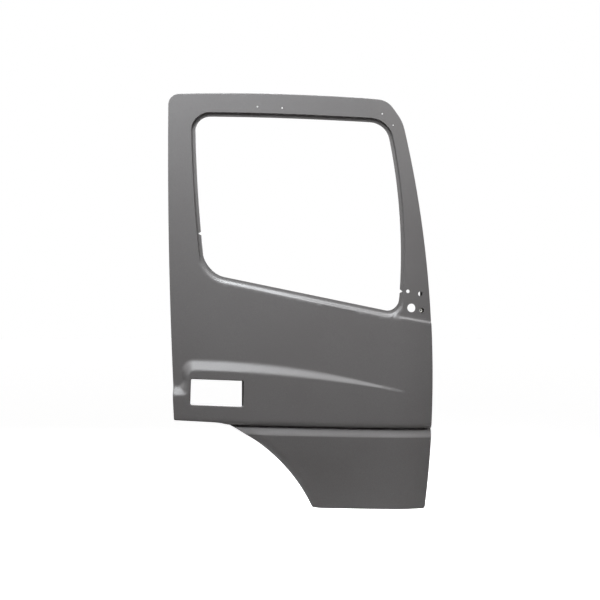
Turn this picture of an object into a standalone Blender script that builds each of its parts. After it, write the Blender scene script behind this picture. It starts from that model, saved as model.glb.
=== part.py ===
# Shell of a lorry cab door, right-hand side, with its window opening and wheel-arch corner.
# Metres. +X points to the front of the vehicle, -Y outboard, +Z up.
# Flat shapes are worked out in the X-Z plane as complex numbers, x + 1j * z, listed clockwise
# as seen from outside, and each sheet is then pressed to a depth along Y.

import math

import bmesh
import bpy
import numpy as np
from mathutils import Matrix, Vector
from mathutils.geometry import delaunay_2d_cdt

# Outline of the door
DOOR_HEIGHT = 1.5125        # top rear corner above the datum
REAR_TOP_X = -0.0055
REAR_LEAN = 0.0327          # the lower rear corner lies this far ahead of the upper one
REAR_BOTTOM_Z = 0.3202
FRONT_BOTTOM_X = 0.938
FRONT_BOTTOM_Z = -0.013
HEADER_FALL = 0.0207        # fall of the top edge from rear to front
HEADER_LENGTH = 0.8102
FRONT_SHOULDER_X = 0.8608   # where the chamfered front top corner meets the front edge
FRONT_SHOULDER_DROP = 0.098
ARCH_RADIUS = 0.628
ARCH_TOP_X = 0.209
ARCH_TOP_FALL = 0.0093      # the rear lower edge falls this much towards the arch
ARCH_FOOT_X = 0.524
ARCH_FOOT_Z = -0.003
ARCH_FILLET = 0.264
REAR_BOW = 33.3             # radii of the slightly bowed edges
HEADER_BOW = 9.87
FRONT_BOW = 4.42
CORNER_TOP_REAR = 0.040
CORNER_TOP_FRONT = 0.070
CORNER_SHOULDER = 0.140
CORNER_FRONT_BOTTOM = 0.010
CORNER_SHARP = 0.006

# Window opening
HEADER_WIDTH = 0.085
REAR_PILLAR_WIDTH = 0.100
FRONT_PILLAR_TOP = 0.0628   # from the front shoulder back to the opening
FRONT_PILLAR_WAIST = 0.102  # from the lower front corner back to the opening
WINDOW_TOP_FALL = 0.023
SILL_REAR_X = 0.136
SILL_REAR_Z = 0.8496
SILL_FRONT_Z = 0.705
WINDOW_REAR_BOW = 6.47
WINDOW_TOP_BOW = 17.1
WINDOW_FRONT_BOW = 2.246
WINDOW_CORNERS = (0.053, 0.077, 0.040, 0.100)  # top rear, top front, sill front, sill rear
PINCH_FLANGE = 0.0105       # width of the flange round the opening
REBATE_RUN = 0.006
SILL_RUN = 0.015            # the wall under the window slopes more
REBATE_DEPTH = 0.012

# Pressed form of the skin
BARREL_Z = 0.602            # height of the widest point
BARREL_X = 0.430
BARREL_RADIUS_Z = 7.5
BARREL_RADIUS_X = 12.0
FRONT_ROLL_WIDTH = 0.140
FRONT_ROLL_RADIUS = 0.50
ARCH_ROLL_WIDTH = 0.030
ARCH_ROLL_RADIUS = 0.045
ARCH_ROLL_START = 0.030     # ahead of the arch's top
ARCH_ROLL_FADE = 0.100
FRAME_SETBACK = 0.013       # front pillar behind the body below the belt
SETBACK_FROM_X = 0.250
SETBACK_TO_X = 0.750
SWELL = 0.021               # how far the lower body stands proud at the rear
SWELL_REAR_X = 0.052
SWELL_SIDE_RUN = 0.028
SWELL_FRONT_X = 0.872
SWELL_TOP_Z = 0.541
SWELL_TOP_SAG = 0.185       # fall of the swell's upper line per metre squared
SWELL_BAND = 0.043          # height of the sloping band at its rear end
PATCH_TOP_Z = 0.446         # ledge between the swell and the rear edge
PATCH_BOTTOM_Z = 0.408
GROOVE_X = 0.2634
GROOVE_Z = 0.2989
GROOVE_SLOPE = -0.0325
GROOVE_DEPTH = 0.020
LOWER_SETBACK = 0.012

# Cut-outs of the skin
HANDLE_X = 0.087
HANDLE_Z = 0.4225
HANDLE_WIDTH = 0.1915
HANDLE_HEIGHT = 0.093
HANDLE_TILT = -0.035
HANDLE_LIP = 0.009
MIRROR_HOLES = ((0.8719, 0.7836, 0.0065), (0.9186, 0.7746, 0.0085),
                (0.8846, 0.7233, 0.0155), (0.9231, 0.7140, 0.0090))
HEADER_HOLE_DROPS = ((0.3239, 0.0510), (0.4148, 0.0553), (0.7839, 0.0738), (0.8246, 0.1153))
HEADER_HOLE_RADIUS = 0.003
HEADER_HOLES = tuple((x, DOOR_HEIGHT - drop, HEADER_HOLE_RADIUS) for x, drop in HEADER_HOLE_DROPS)
NOTCHES = ((3, 0.25), (1, 0.887))   # side of the window and share along it
NOTCH_DEPTH = 0.0095
NOTCH_HALF_WIDTH = 0.0055

# Sheets
SKIN = 0.0009
INNER = 0.0008
GAP = 0.0003                # clearance between pieces that touch
HEM_LIP = 0.009
HEM_GAP = 0.0006            # sealer in the folded hem
FLANGE_CORNER = 0.022       # the inner flange cuts its corners short
HEM_FLANGE = 0.015
WALL_RUN = 0.004
NOTCH_EASE = 0.007          # the hem flange stops this far from a step in the skin
NOTCH_RISE = 0.003
CORNER_NOTCH = 0.034
GROOVE_NOTCH_BACK = 0.050
LOWER_FACE = 0.110          # trim face of the inner panel
FRAME_DEPTH = 0.052
GLASS_SLOT = 0.030
STEEL = (0.30, 0.31, 0.31, 1.0)

# Inside of the door
WAIST_FOOT_REAR = -0.200    # below the sill line
WAIST_FOOT_FRONT = -0.080
WAIST_STEP = 0.070
BEAM_FRONT = (0.893, 0.0385, 0.440)
BEAM_REAR = (0.060, 0.0215, 0.615)
BEAM_RADIUS = 0.0135
BEAM_WALL = 0.0025
BRACKET = 0.002
BRACKET_LENGTH = 0.040
SEAT = 0.0006               # adhesive gap where a sheet backs the skin
CHANNEL_SHEET = 0.0012
RAIL_FLANGE = 0.007
RAIL_RUN = 0.005
WAIST_RAIL_HEIGHT = 0.050
WAIST_OUTER_RISE = 0.016
WAIST_REAR_REACH = 0.073    # behind the window's lower rear corner
WAIST_OUTER_SHORT = 0.068   # how far the rails end behind the front edge
WAIST_INNER_SHORT = 0.138
WAIST_INNER_RISE = 0.010
PILLAR_RISE = 0.022
FRONT_PILLAR_RISE = 0.009
FRAME_INSET = 0.0215
WALL_GAP = 0.0009
HINGE_REINFORCEMENT = 0.003
HINGE_PLATE_WIDTH = 0.036
HINGE_DEPTH = LOWER_FACE - HINGE_PLATE_WIDTH / 2 - 0.005
TAPPING_PLATE = 0.008
LATCH_DEPTH = 0.066
HANDLE_RING = 0.010
HANDLE_RING_REAR = 0.0045    # narrower where the swell's rear end is close
MIRROR_PLATE = 0.002
BUSH_LENGTH = 0.010
GLASS_CHANNEL_REAR = (0.140, 0.050, 0.690, 0.500)   # x, y, top and foot
GLASS_CHANNEL_FRONT = (0.815, 0.062, 0.620, 0.350)
GLASS_CHANNEL_WIDTH = 0.014
GLASS_CHANNEL_DEPTH = 0.013
GLASS_LEAN = -0.01
GLASS_BRACKET_RISE = 0.030      # above the channel's foot
GLASS_BRACKET_HEIGHT = 0.024
GLASS_BRACKET_FEET = (0.016, 0.018)
PAD_PLACES = (("rear", 0.30), ("middle", 0.50), ("front", 0.70))
PAD_LENGTH = 0.040
PAD_HEIGHT = 0.022
PAD_GAP = 0.0009
HINGE_HEIGHTS = (0.535, 0.125)
HINGE_PLATE_HEIGHT = 0.095
HINGE_BOLT_SPACING = 0.062
HINGE_BOLT_RADIUS = 0.005
HINGE_FACE_RISE = 0.021         # the door's origin, above the hinge's middle
HINGE_FACE_INSET = 0.005        # and outboard of the trim face
CHECK_HEIGHT = 0.300
LATCH_HEIGHT = 0.555
REGULATOR_OPENING = ((0.29, 0.36), (0.29, 0.60), (0.70, 0.515), (0.70, 0.33))
LATCH_OPENING = ((0.060, 0.343), (0.060, 0.478), (0.262, 0.470), (0.262, 0.343))
MIRROR_OPENING = ((0.864, 0.703), (0.864, 0.800), (0.922, 0.800), (0.922, 0.703))
SPEAKER = (0.790, 0.150, 0.075)
TRIM_CLIPS = ((0.080, 0.560), (0.235, 0.545), (0.880, 0.520), (0.885, 0.300),
              (0.870, 0.055), (0.600, 0.040), (0.560, 0.230), (0.390, 0.315))
CLIP_HOLE = 0.004
HARNESS_HEIGHT = 0.400
HARNESS_RADIUS = 0.013
RECESS_WIDTH = 0.012
RECESS_RUN = 0.005
RECESS_DEPTH = 0.004
BEADS = ((0.33, 0.285, 0.66, 0.262), (0.775, 0.40, 0.775, 0.52), (0.12, 0.645, 0.24, 0.620))
BEAD_RADIUS = 0.012
SIDE_TURN = math.radians(3.4)   # most a curved side bends between two points
SLIVER = 0.000002               # triangles thinner than this along an edge are left out


# Flat outlines

def side(start, end, bow):
    """Length of one side of an outline and a function giving point and direction along it."""
    chord = end - start
    heading = chord / abs(chord)
    if bow == 0:
        return abs(chord), lambda s: (start + chord * s, heading)
    bend = math.asin(abs(chord) / (2 * bow))
    centre = (start + end) / 2 - 1j * heading * bow * math.cos(bend)

    def at(s):
        along = heading * np.exp(1j * bend * (1 - 2 * s))
        return centre + bow * 1j * along, along

    return abs(2 * bend * bow), at


def trace(outline, inset=0.0, spacing=0.06, turn=24):
    """Points round an outline of (corner, radius, bow of next side), moved inwards by inset."""
    count = len(outline)
    insets = inset if isinstance(inset, (list, tuple)) else [inset] * count
    sides = [side(outline[i][0], outline[(i + 1) % count][0], outline[i][2]) for i in range(count)]
    starts, ends, arcs = [], [], []
    for i, (corner, radius, _) in enumerate(outline):
        before, after = insets[i - 1], insets[i]
        into, out = sides[i - 1][1](1.0)[1], sides[i][1](0.0)[1]
        angle = np.angle(out / into)
        a, b = corner - 1j * into * before, corner - 1j * out * after
        reach = ((b - a) * np.conj(out)).imag / (into * np.conj(out)).imag
        moved = a + into * reach
        mean = (before + after) / 2
        rounding = max(radius - mean, 0.002) if angle < 0 else radius + mean
        length = rounding * math.tan(abs(angle) / 2)
        ends.append(1 - (((corner - moved) * np.conj(into)).real + length) / sides[i - 1][0])
        starts.append((((moved - corner) * np.conj(out)).real + length) / sides[i][0])
        arcs.append(max(2, math.ceil(math.degrees(abs(angle)) / turn), math.ceil(2 * length / spacing)))
    points = []
    for i in range(count):
        p, t = sides[i - 1][1](ends[i])
        q, u = sides[i][1](starts[i])
        p, q = p - 1j * t * insets[i - 1], q - 1j * u * insets[i]
        angle = abs(np.angle(u / t))
        handle = 4 / 3 * math.tan(angle / 4) * abs(q - p) / (2 * math.sin(angle / 2))
        for k in range(arcs[i] + 1):
            w = k / arcs[i]
            bezier = (1 - w) ** 3 * p + 3 * (1 - w) ** 2 * w * (p + handle * t)
            points.append(bezier + 3 * (1 - w) * w ** 2 * (q - handle * u) + w ** 3 * q)
        bend = sides[i][0] / abs(outline[i][2]) if outline[i][2] else 0
        steps = max(1, round(sides[i][0] / spacing), math.ceil(bend / SIDE_TURN))
        low, high = starts[i], ends[(i + 1) % count]
        for k in range(1, steps):
            s = k / steps
            if low + 0.2 / steps < s < high - 0.2 / steps:
                p, t = sides[i][1](s)
                points.append(p - 1j * t * insets[i])
    return points


def circle(x, z, radius, count=12):
    return [complex(x, z) + radius * np.exp(-2j * math.pi * k / count) for k in range(count)]


def box_outline(x, z, width, height, tilt=0.0, radius=0.008):
    """Rounded rectangle from its rear edge, mid height, along a tilted axis."""
    along = np.exp(1j * tilt)
    base = complex(x, z)
    corners = (-0.5j * height, 0.5j * height, width + 0.5j * height, width - 0.5j * height)
    return [(base + c * along, radius, 0) for c in corners]


def gap_to(point, loop):
    """Distance from a point to a closed run of points."""
    a = np.asarray(loop)
    step = np.roll(a, -1) - a
    w = np.clip(((point - a) * np.conj(step)).real / np.abs(step) ** 2, 0, 1)
    return float(np.min(np.abs(point - a - w * step)))


def inside(point, loop):
    a = np.asarray(loop)
    b = np.roll(a, -1)
    crosses = (a.imag > point.imag) != (b.imag > point.imag)
    rise = np.where(crosses, b.imag - a.imag, 1.0)
    x = a.real + (point.imag - a.imag) * (b.real - a.real) / rise
    return bool(np.count_nonzero(crosses & (x > point.real)) % 2)


def ramp(value, low, high):
    w = min(1.0, max(0.0, (value - low) / (high - low)))
    return w * w * (3 - 2 * w)


def door_outline():
    top_z = DOOR_HEIGHT
    rear_bottom = complex(REAR_TOP_X + REAR_LEAN, REAR_BOTTOM_Z)
    header_end = complex(REAR_TOP_X + HEADER_LENGTH, top_z - HEADER_FALL)
    shoulder = complex(FRONT_SHOULDER_X, top_z - FRONT_SHOULDER_DROP)
    return [(rear_bottom, CORNER_SHARP, REAR_BOW),
            (complex(REAR_TOP_X, top_z), CORNER_TOP_REAR, HEADER_BOW),
            (header_end, CORNER_TOP_FRONT, 0),
            (shoulder, CORNER_SHOULDER, FRONT_BOW),
            (complex(FRONT_BOTTOM_X, FRONT_BOTTOM_Z), CORNER_FRONT_BOTTOM, 0),
            (complex(ARCH_FOOT_X, ARCH_FOOT_Z), CORNER_SHARP, -ARCH_RADIUS),
            (complex(ARCH_TOP_X, REAR_BOTTOM_Z - ARCH_TOP_FALL), ARCH_FILLET, 0)]


def window_outline():
    """Listed like the door, so a negative inset widens it."""
    top = DOOR_HEIGHT - HEADER_WIDTH
    corners = (complex(REAR_TOP_X + REAR_PILLAR_WIDTH, top),
               complex(FRONT_SHOULDER_X - FRONT_PILLAR_TOP, top - WINDOW_TOP_FALL),
               complex(FRONT_BOTTOM_X - FRONT_PILLAR_WAIST, SILL_FRONT_Z),
               complex(SILL_REAR_X, SILL_REAR_Z))
    bows = (WINDOW_TOP_BOW, WINDOW_FRONT_BOW, 0, WINDOW_REAR_BOW)
    return list(zip(corners, WINDOW_CORNERS, bows))


DOOR = door_outline()
WINDOW = window_outline()
EDGE = trace(DOOR, 0, 0.03, 15)
FRONT_LENGTH, FRONT_SIDE = side(DOOR[3][0], DOOR[4][0], DOOR[3][2])
ARCH_LENGTH, ARCH_SIDE = side(DOOR[5][0], DOOR[6][0], DOOR[5][2])
OPENING = trace(WINDOW, 0, 0.03, 15)
INNER_DOOR = [(corner, max(radius, FLANGE_CORNER), bow) for corner, radius, bow in DOOR]
INNER_EDGE = trace(INNER_DOOR, 0, 0.03, 15)
REAR_SIDE = side(DOOR[0][0], DOOR[1][0], DOOR[0][2])[1]


def notch_loops():
    """Small V cuts in the flange round the window, where the channel rubber's ends are set."""
    loops = []
    for number, share in NOTCHES:
        corner, _, bow = WINDOW[number]
        point, along = side(corner, WINDOW[(number + 1) % len(WINDOW)][0], bow)[1](share)
        base = point - 0.3j * along * NOTCH_DEPTH
        spread = 1.3 * NOTCH_HALF_WIDTH * along
        loops.append([base - spread, point + 1j * along * NOTCH_DEPTH, base + spread])
    return loops


def window_loop(flat, wall=0.0):
    """Loop round the opening, flat metres out, plus a share of the rebate wall."""
    runs = [REBATE_RUN, REBATE_RUN, SILL_RUN, REBATE_RUN]
    return trace(WINDOW, [-(flat + wall * run) for run in runs], 0.06)


FLANGE_FOOT = window_loop(PINCH_FLANGE)
PANEL_EDGE = window_loop(PINCH_FLANGE, 1.0)


# Depths along Y

def above_sill(x, z):
    """Height above the sill line of the window, square to it."""
    start, end = WINDOW[3][0], WINDOW[2][0]
    along = (end - start) / abs(end - start)
    return ((complex(x, z) - start) * np.conj(along)).imag


def front_inset(point):
    chord_centre = (DOOR[3][0] + DOOR[4][0]) / 2
    heading = (DOOR[4][0] - DOOR[3][0]) / abs(DOOR[4][0] - DOOR[3][0])
    bend = math.asin(abs(DOOR[4][0] - DOOR[3][0]) / (2 * FRONT_BOW))
    centre = chord_centre - 1j * heading * FRONT_BOW * math.cos(bend)
    return FRONT_BOW - abs(point - centre)


def arch_inset(point):
    chord_centre = (DOOR[5][0] + DOOR[6][0]) / 2
    heading = (DOOR[6][0] - DOOR[5][0]) / abs(DOOR[6][0] - DOOR[5][0])
    bend = math.asin(abs(DOOR[6][0] - DOOR[5][0]) / (2 * ARCH_RADIUS))
    centre = chord_centre + 1j * heading * ARCH_RADIUS * math.cos(bend)
    return abs(point - centre) - ARCH_RADIUS


def barrel(x, z):
    return (z - BARREL_Z) ** 2 / (2 * BARREL_RADIUS_Z) + (x - BARREL_X) ** 2 / (2 * BARREL_RADIUS_X)


def body(x, z):
    """Barrel of the cab side with the roll towards the front edge."""
    roll = max(0.0, FRONT_ROLL_WIDTH - front_inset(complex(x, z)))
    return barrel(x, z) + roll * roll / (2 * FRONT_ROLL_RADIUS)


def setback(x):
    return FRAME_SETBACK * ramp(x, SETBACK_FROM_X, SETBACK_TO_X)


def swell_line(x, share):
    """Height of the swell's sloping band, 0 at its upper line and 1 at its lower line."""
    reach = min(1.0, max(0.0, (x - SWELL_REAR_X) / (SWELL_FRONT_X - SWELL_REAR_X)))
    band = SWELL_BAND * (1 - reach ** 2.2)
    return SWELL_TOP_Z - SWELL_TOP_SAG * max(0.0, x - SWELL_REAR_X) ** 2 - share * band


def swell(x, z):
    upper, lower = swell_line(x, 0), swell_line(x, 1)
    down = min(1.0, max(0.0, (upper - z) / max(upper - lower, 0.001)))
    beside = (x - SWELL_REAR_X) / SWELL_SIDE_RUN
    beside = max(beside, (PATCH_TOP_Z - z) / (PATCH_TOP_Z - PATCH_BOTTOM_Z))
    beside = min(1.0, max(0.0, beside))
    shape = ramp(1 - math.hypot(1 - down, 1 - beside), 0, 1)
    height = SWELL * (upper - lower) / SWELL_BAND
    below = max(0.0, groove_drop(x, z))
    return height * shape * (1 - ramp(below, 0, GROOVE_Z))


def groove_drop(x, z):
    """Distance below the groove line."""
    return GROOVE_Z + GROOVE_SLOPE * (x - GROOVE_X) - z


GROOVE_STEPS = ((-0.014, 0.0), (-0.005, 0.15), (-0.001, 0.62), (0.0015, 1.0), (0.009, 0.75), (0.034, 0.6))


def groove(x, z):
    drops = [step[0] for step in GROOVE_STEPS]
    depths = [step[1] * GROOVE_DEPTH for step in GROOVE_STEPS]
    depths[-1] = LOWER_SETBACK
    return float(np.interp(groove_drop(x, z), drops, depths))


def skin_depth(x, z):
    """Outer face of the skin outside the window rebate."""
    depth = body(x, z) - swell(x, z) + groove(x, z)
    belt = above_sill(x, z) + PINCH_FLANGE + SILL_RUN
    depth += setback(x) * ramp(belt, 0.0005, SILL_RUN - 0.004)
    roll = max(0.0, ARCH_ROLL_WIDTH - max(0.0, arch_inset(complex(x, z))))
    roll *= ramp(x, ARCH_TOP_X + ARCH_ROLL_START, ARCH_TOP_X + ARCH_ROLL_START + ARCH_ROLL_FADE)
    return depth + roll * roll / (2 * ARCH_ROLL_RADIUS)


def slope_factor(x, z, reach=0.0015):
    """How much longer a step along Y is than one square to the skin."""
    here = skin_depth(x, z)
    steep = 0.0
    for dx, dz in ((reach, 0), (-reach, 0), (0, reach), (0, -reach)):
        steep = max(steep, abs(skin_depth(x + dx, z + dz) - here) / reach)
    return math.sqrt(1 + min(steep, 2.5) ** 2)


def behind_skin(x, z, distance):
    return skin_depth(x, z) + distance * slope_factor(x, z)


def window_flange_depth(x, z):
    return body(x, z) + setback(x) + REBATE_DEPTH


def outer_depth(x, z):
    point = complex(x, z)
    if above_sill(x, z) > -0.05 and gap_to(point, OPENING) < 0.03:
        if gap_to(point, FLANGE_FOOT) < 0.0004 or inside(point, FLANGE_FOOT):
            return window_flange_depth(x, z)
    return skin_depth(x, z)


# Making sheets

def lay_out(outline, holes, lines, grid, notched=None):
    """Triangulate the flat blank between its outline, its holes and its bend lines."""
    points, edges = [], []
    loops = [outline] + holes
    closed = [(loop, True) for loop in loops] + [(line[0], line[1]) for line in lines]
    for run, is_loop in closed:
        first = len(points)
        points.extend(run)
        edges.extend((first + k, first + k + 1) for k in range(len(run) - 1))
        if is_loop:
            edges.append((len(points) - 1, first))
    starts = np.array([points[a] for a, _ in edges])
    steps = np.array([points[b] for _, b in edges]) - starts
    xs = [p.real for p in outline]
    zs = [p.imag for p in outline]
    for column in np.arange(min(xs), max(xs), grid):
        for row in np.arange(min(zs), max(zs), grid):
            spot = complex(column, row)
            w = np.clip(((spot - starts) * np.conj(steps)).real / np.abs(steps) ** 2, 0, 1)
            if inside(spot, outline) and np.min(np.abs(spot - starts - w * steps)) > 0.4 * grid:
                points.append(spot)
    flat = [Vector((p.real, p.imag)) for p in points]
    verts, _, faces, *_ = delaunay_2d_cdt(flat, edges, [], 0, 1e-6)
    kept = []
    for face in faces:
        middle = sum(complex(*verts[i]) for i in face) / 3
        if not inside(middle, outline) or gap_to(middle, outline) < SLIVER:
            continue
        if any(inside(middle, hole) for hole in holes):
            continue
        if notched is None or not notched(middle):
            kept.append(face)
    return verts, kept


def rim(mesh, loop, stations):
    """Fold the sheet on past one of its edges, through (loop, depth function) stations."""
    here = np.asarray(loop)
    step = np.roll(here, -1) - here
    places = {}
    edges = []
    for edge in mesh.edges:
        if not edge.is_boundary:
            continue
        middle = complex(*[sum(v.co[i] for v in edge.verts) / 2 for i in (0, 2)])
        if gap_to(middle, loop) < 0.0003:
            edges.append(edge)
    for vert in {v for edge in edges for v in edge.verts}:
        point = complex(vert.co.x, vert.co.z)
        w = np.clip(((point - here) * np.conj(step)).real / np.abs(step) ** 2, 0, 1)
        k = int(np.argmin(np.abs(point - here - w * step)))
        places[vert] = (k, float(w[k]))
    for target, depth in stations:
        new = bmesh.ops.extrude_edge_only(mesh, edges=edges)["geom"]
        new_edges = [g for g in new if isinstance(g, bmesh.types.BMEdge)]
        new_verts = [g for g in new if isinstance(g, bmesh.types.BMVert)]
        moved = {}
        for vert in new_verts:
            source = min(places, key=lambda old: (old.co - vert.co).length_squared)
            moved[vert] = places[source]
        for vert, (k, w) in moved.items():
            spot = target[k] * (1 - w) + target[(k + 1) % len(target)] * w
            vert.co = (spot.real, depth(spot.real, spot.imag), spot.imag)
        edges = [e for e in new_edges if all(v in moved for v in e.verts)]
        places = moved


def material(name, colour=STEEL, roughness=0.45, metallic=0.3):
    finish = bpy.data.materials.new(name)
    finish.use_nodes = True
    shader = finish.node_tree.nodes["Principled BSDF"]
    shader.inputs["Base Color"].default_value = colour
    shader.inputs["Roughness"].default_value = roughness
    shader.inputs["Metallic"].default_value = metallic
    return finish


def place(name, mesh, **finish):
    """Add a mesh as a named sub-part, hung on the door's origin."""
    data = bpy.data.meshes.new(name)
    mesh.to_mesh(data)
    mesh.free()
    piece = bpy.data.objects.new(name, data)
    PARTS.objects.link(piece)
    piece.parent = ORIGIN
    data.materials.append(material(name + "_finish", **finish))
    return piece


def thicken(piece, thickness, offset=-1):
    solid = piece.modifiers.new("Thickness", "SOLIDIFY")
    solid.thickness = thickness
    solid.offset = offset
    solid.use_even_offset = True
    solid.use_quality_normals = True
    return piece


def press(name, outline, depth, thickness, holes=(), lines=(), grid=0.09, rims=(), notched=None, **finish):
    """Sheet pressed to a depth, with its outer face outboard."""
    holes = list(holes)
    verts, faces = lay_out(outline, holes, list(lines), grid, notched)
    mesh = bmesh.new()
    used = sorted({i for face in faces for i in face})
    corner = {i: mesh.verts.new((verts[i].x, depth(verts[i].x, verts[i].y), verts[i].y)) for i in used}
    for face in faces:
        mesh.faces.new([corner[i] for i in face])
    for loop, stations in rims:
        rim(mesh, loop, stations)
    return thicken(place(name, mesh, **finish), thickness)


def line_at(height, x_from, x_to, step=0.05):
    """Bend line across the door, given as height over x."""
    count = max(1, round((x_to - x_from) / step))
    xs = [x_from + (x_to - x_from) * k / count for k in range(count + 1)]
    return ([complex(x, height(x)) for x in xs], False)


def side_line(at, inset, share_from=0.0, share_to=1.0, count=16):
    run = []
    for k in range(count + 1):
        p, t = at(share_from + (share_to - share_from) * k / count)
        run.append(p - 1j * t * inset)
    return (run, False)


def belt_lines(x_from=0.79):
    """The two edges of the belt ledge, ahead of the window."""
    start, end = WINDOW[3][0], WINDOW[2][0]
    along = (end - start) / abs(end - start)
    lines = []
    for drop in (PINCH_FLANGE + SILL_RUN, PINCH_FLANGE + 0.004):
        base = start - 1j * along * drop
        reach = [(x - base.real) / along.real for x in (x_from, 0.88, 0.93, 0.975)]
        lines.append(([base + along * r for r in reach], False))
    return lines


def groove_lines(x_from=0.1, x_to=0.98):
    return [line_at(lambda x, d=drop: GROOVE_Z + GROOVE_SLOPE * (x - GROOVE_X) - d, x_from, x_to, 0.09)
            for drop, _ in GROOVE_STEPS]


def arch_lines():
    lines = [side_line(ARCH_SIDE, inset, -0.05, 0.85, 14) for inset in (HEM_LIP, ARCH_ROLL_WIDTH)]
    for share in (0, 0.25, 0.5, 0.75, 1):
        x = ARCH_TOP_X + ARCH_ROLL_START + share * ARCH_ROLL_FADE
        foot = min(gap_at for gap_at in (p.imag for p in EDGE if abs(p.real - x) < 0.03 and p.imag < 0.5))
        lines.append(([complex(x, foot - 0.03), complex(x, foot + 0.055)], False))
    return lines


def swell_lines():
    lines = [line_at(lambda x, s=share: swell_line(x, s), SWELL_REAR_X + SWELL_SIDE_RUN,
                     SWELL_FRONT_X - 0.02 * share, 0.06) for share in (0, 0.5, 1)]
    turn_x = SWELL_REAR_X + SWELL_SIDE_RUN
    foot = swell_line(turn_x, 1)
    top = swell_line(turn_x, 0)
    for share in (0.0, 0.5):
        width = SWELL_SIDE_RUN * (1 - share)
        height = (top - foot) * (1 - share)
        arc = [complex(turn_x - width * math.sin(a), foot + height * math.cos(a))
               for a in (0.4, 0.8, 1.2, math.pi / 2)]
        lines.append((arc + [complex(turn_x - width, PATCH_TOP_Z)], False))
    lines.append(([complex(turn_x, foot), complex(turn_x, PATCH_TOP_Z), complex(turn_x, PATCH_BOTTOM_Z),
                   complex(-0.02, PATCH_BOTTOM_Z)], False))
    middle = (PATCH_TOP_Z + PATCH_BOTTOM_Z) / 2
    lines.append(([complex(turn_x, PATCH_TOP_Z), complex(-0.02, PATCH_TOP_Z)], False))
    lines.append(([complex(turn_x, middle), complex(-0.02, middle)], False))
    return lines


def outer_skin():
    edge = trace(DOOR, 0.0010, 0.06)
    fold = trace(DOOR, 0.0, 0.06)
    lip = trace(DOOR, HEM_LIP, 0.06)
    handle = box_outline(HANDLE_X, HANDLE_Z, HANDLE_WIDTH, HANDLE_HEIGHT, HANDLE_TILT)
    handle_edge = trace(handle, 0, 0.2, 30)
    handle_in = trace(handle, 0.0012, 0.2, 30)
    opening = trace(WINDOW, 0, 0.06)
    holes = [opening, handle_edge]
    holes += [circle(*hole, 14) for hole in MIRROR_HOLES] + [circle(*hole, 8) for hole in HEADER_HOLES]
    holes += notch_loops()
    lines = [(trace(DOOR, HEM_FLANGE, 0.06), True), (FLANGE_FOOT, True), (PANEL_EDGE, True)]
    lines += belt_lines() + groove_lines() + swell_lines()
    lines += [side_line(FRONT_SIDE, inset) for inset in (0.055, 0.095, FRONT_ROLL_WIDTH)]
    lines += arch_lines()
    hem = 2 * SKIN + 2 * HEM_GAP + INNER
    rims = [(edge, [(fold, lambda x, z: skin_depth(x, z) + 0.0011),
                    (fold, lambda x, z: behind_skin(x, z, hem)),
                    (lip, lambda x, z: behind_skin(x, z, hem))]),
            (handle_edge, [(handle_in, lambda x, z: skin_depth(x, z) + 0.0015),
                           (handle_in, lambda x, z: skin_depth(x, z) + HANDLE_LIP)])]
    return press("outer_skin", edge, outer_depth, SKIN, holes, lines, 0.085, rims)


# Inner panel

def apertures():
    """Openings of the inner panel's lower face, as outlines with rounded corners."""
    def rounded(corners, radius):
        return [(complex(*corner), radius, 0) for corner in corners]
    return [rounded(REGULATOR_OPENING, 0.05), rounded(LATCH_OPENING, 0.012), rounded(MIRROR_OPENING, 0.012)]


APERTURES = apertures()
APERTURE_LOOPS = [trace(a, 0, 0.09) for a in APERTURES] + [circle(*SPEAKER, 24)]


def bead_loop(bead, radius):
    start, end = complex(*bead[:2]), complex(*bead[2:])
    along = (end - start) / abs(end - start)
    turns = [k * math.pi / 4 for k in range(5)]
    run = [start + radius * along * np.exp(1j * (-math.pi / 2 - a)) for a in turns]
    return run + [end + radius * along * np.exp(1j * (math.pi / 2 - a)) for a in turns]


def distance_to_bead(point, bead):
    start, end = complex(*bead[:2]), complex(*bead[2:])
    w = min(1, max(0, ((point - start) * np.conj(end - start)).real / abs(end - start) ** 2))
    return abs(point - start - w * (end - start))


def waist_foot(x):
    """Where the trim face starts to rise to the frame, measured from the sill line."""
    return WAIST_FOOT_REAR + (WAIST_FOOT_FRONT - WAIST_FOOT_REAR) * ramp(x, 0.70, 0.86)


def waist_lines():
    start, end = WINDOW[3][0], WINDOW[2][0]
    along = (end - start) / abs(end - start)
    lines = []
    for share in (0, 0.35, 0.65, 1):
        run = []
        for k in range(15):
            spot = start + along * (-0.085 + 0.057 * k)
            run.append(spot + 1j * along * (waist_foot(spot.real) + share * WAIST_STEP))
        lines.append(([p for p in run if gap_to(p, INNER_EDGE) > HEM_FLANGE + WALL_RUN + 0.004
                       and inside(p, INNER_EDGE)], False))
    return lines


def face_depth(x, z):
    """Outboard side of the inner panel's face: a flat trim face below, the frame above."""
    sill = above_sill(x, z)
    low = waist_foot(x)
    blend = ramp(sill, low, low + WAIST_STEP)
    depth = LOWER_FACE * (1 - blend) + (barrel(x, z) + FRAME_DEPTH) * blend
    point = complex(x, z)
    for loop in APERTURE_LOOPS:
        away = gap_to(point, loop)
        if away < RECESS_WIDTH + RECESS_RUN:
            run = ramp(away, RECESS_WIDTH + 0.0004, RECESS_WIDTH + RECESS_RUN - 0.0004)
            depth -= RECESS_DEPTH * (1 - run)
    for bead in BEADS:
        away = distance_to_bead(point, bead)
        if away < BEAD_RADIUS:
            depth -= RECESS_DEPTH * (1 - ramp(away, BEAD_RADIUS - RECESS_RUN + 0.0004, BEAD_RADIUS - 0.0004))
    return depth


def pinch_depth(x, z):
    """Inner half of the flange round the window, standing off at the sill for the glass."""
    slot = GLASS_SLOT * (1 - ramp(above_sill(x, z), 0.0, 0.060))
    return window_flange_depth(x, z) + SKIN + GAP + slot


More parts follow.
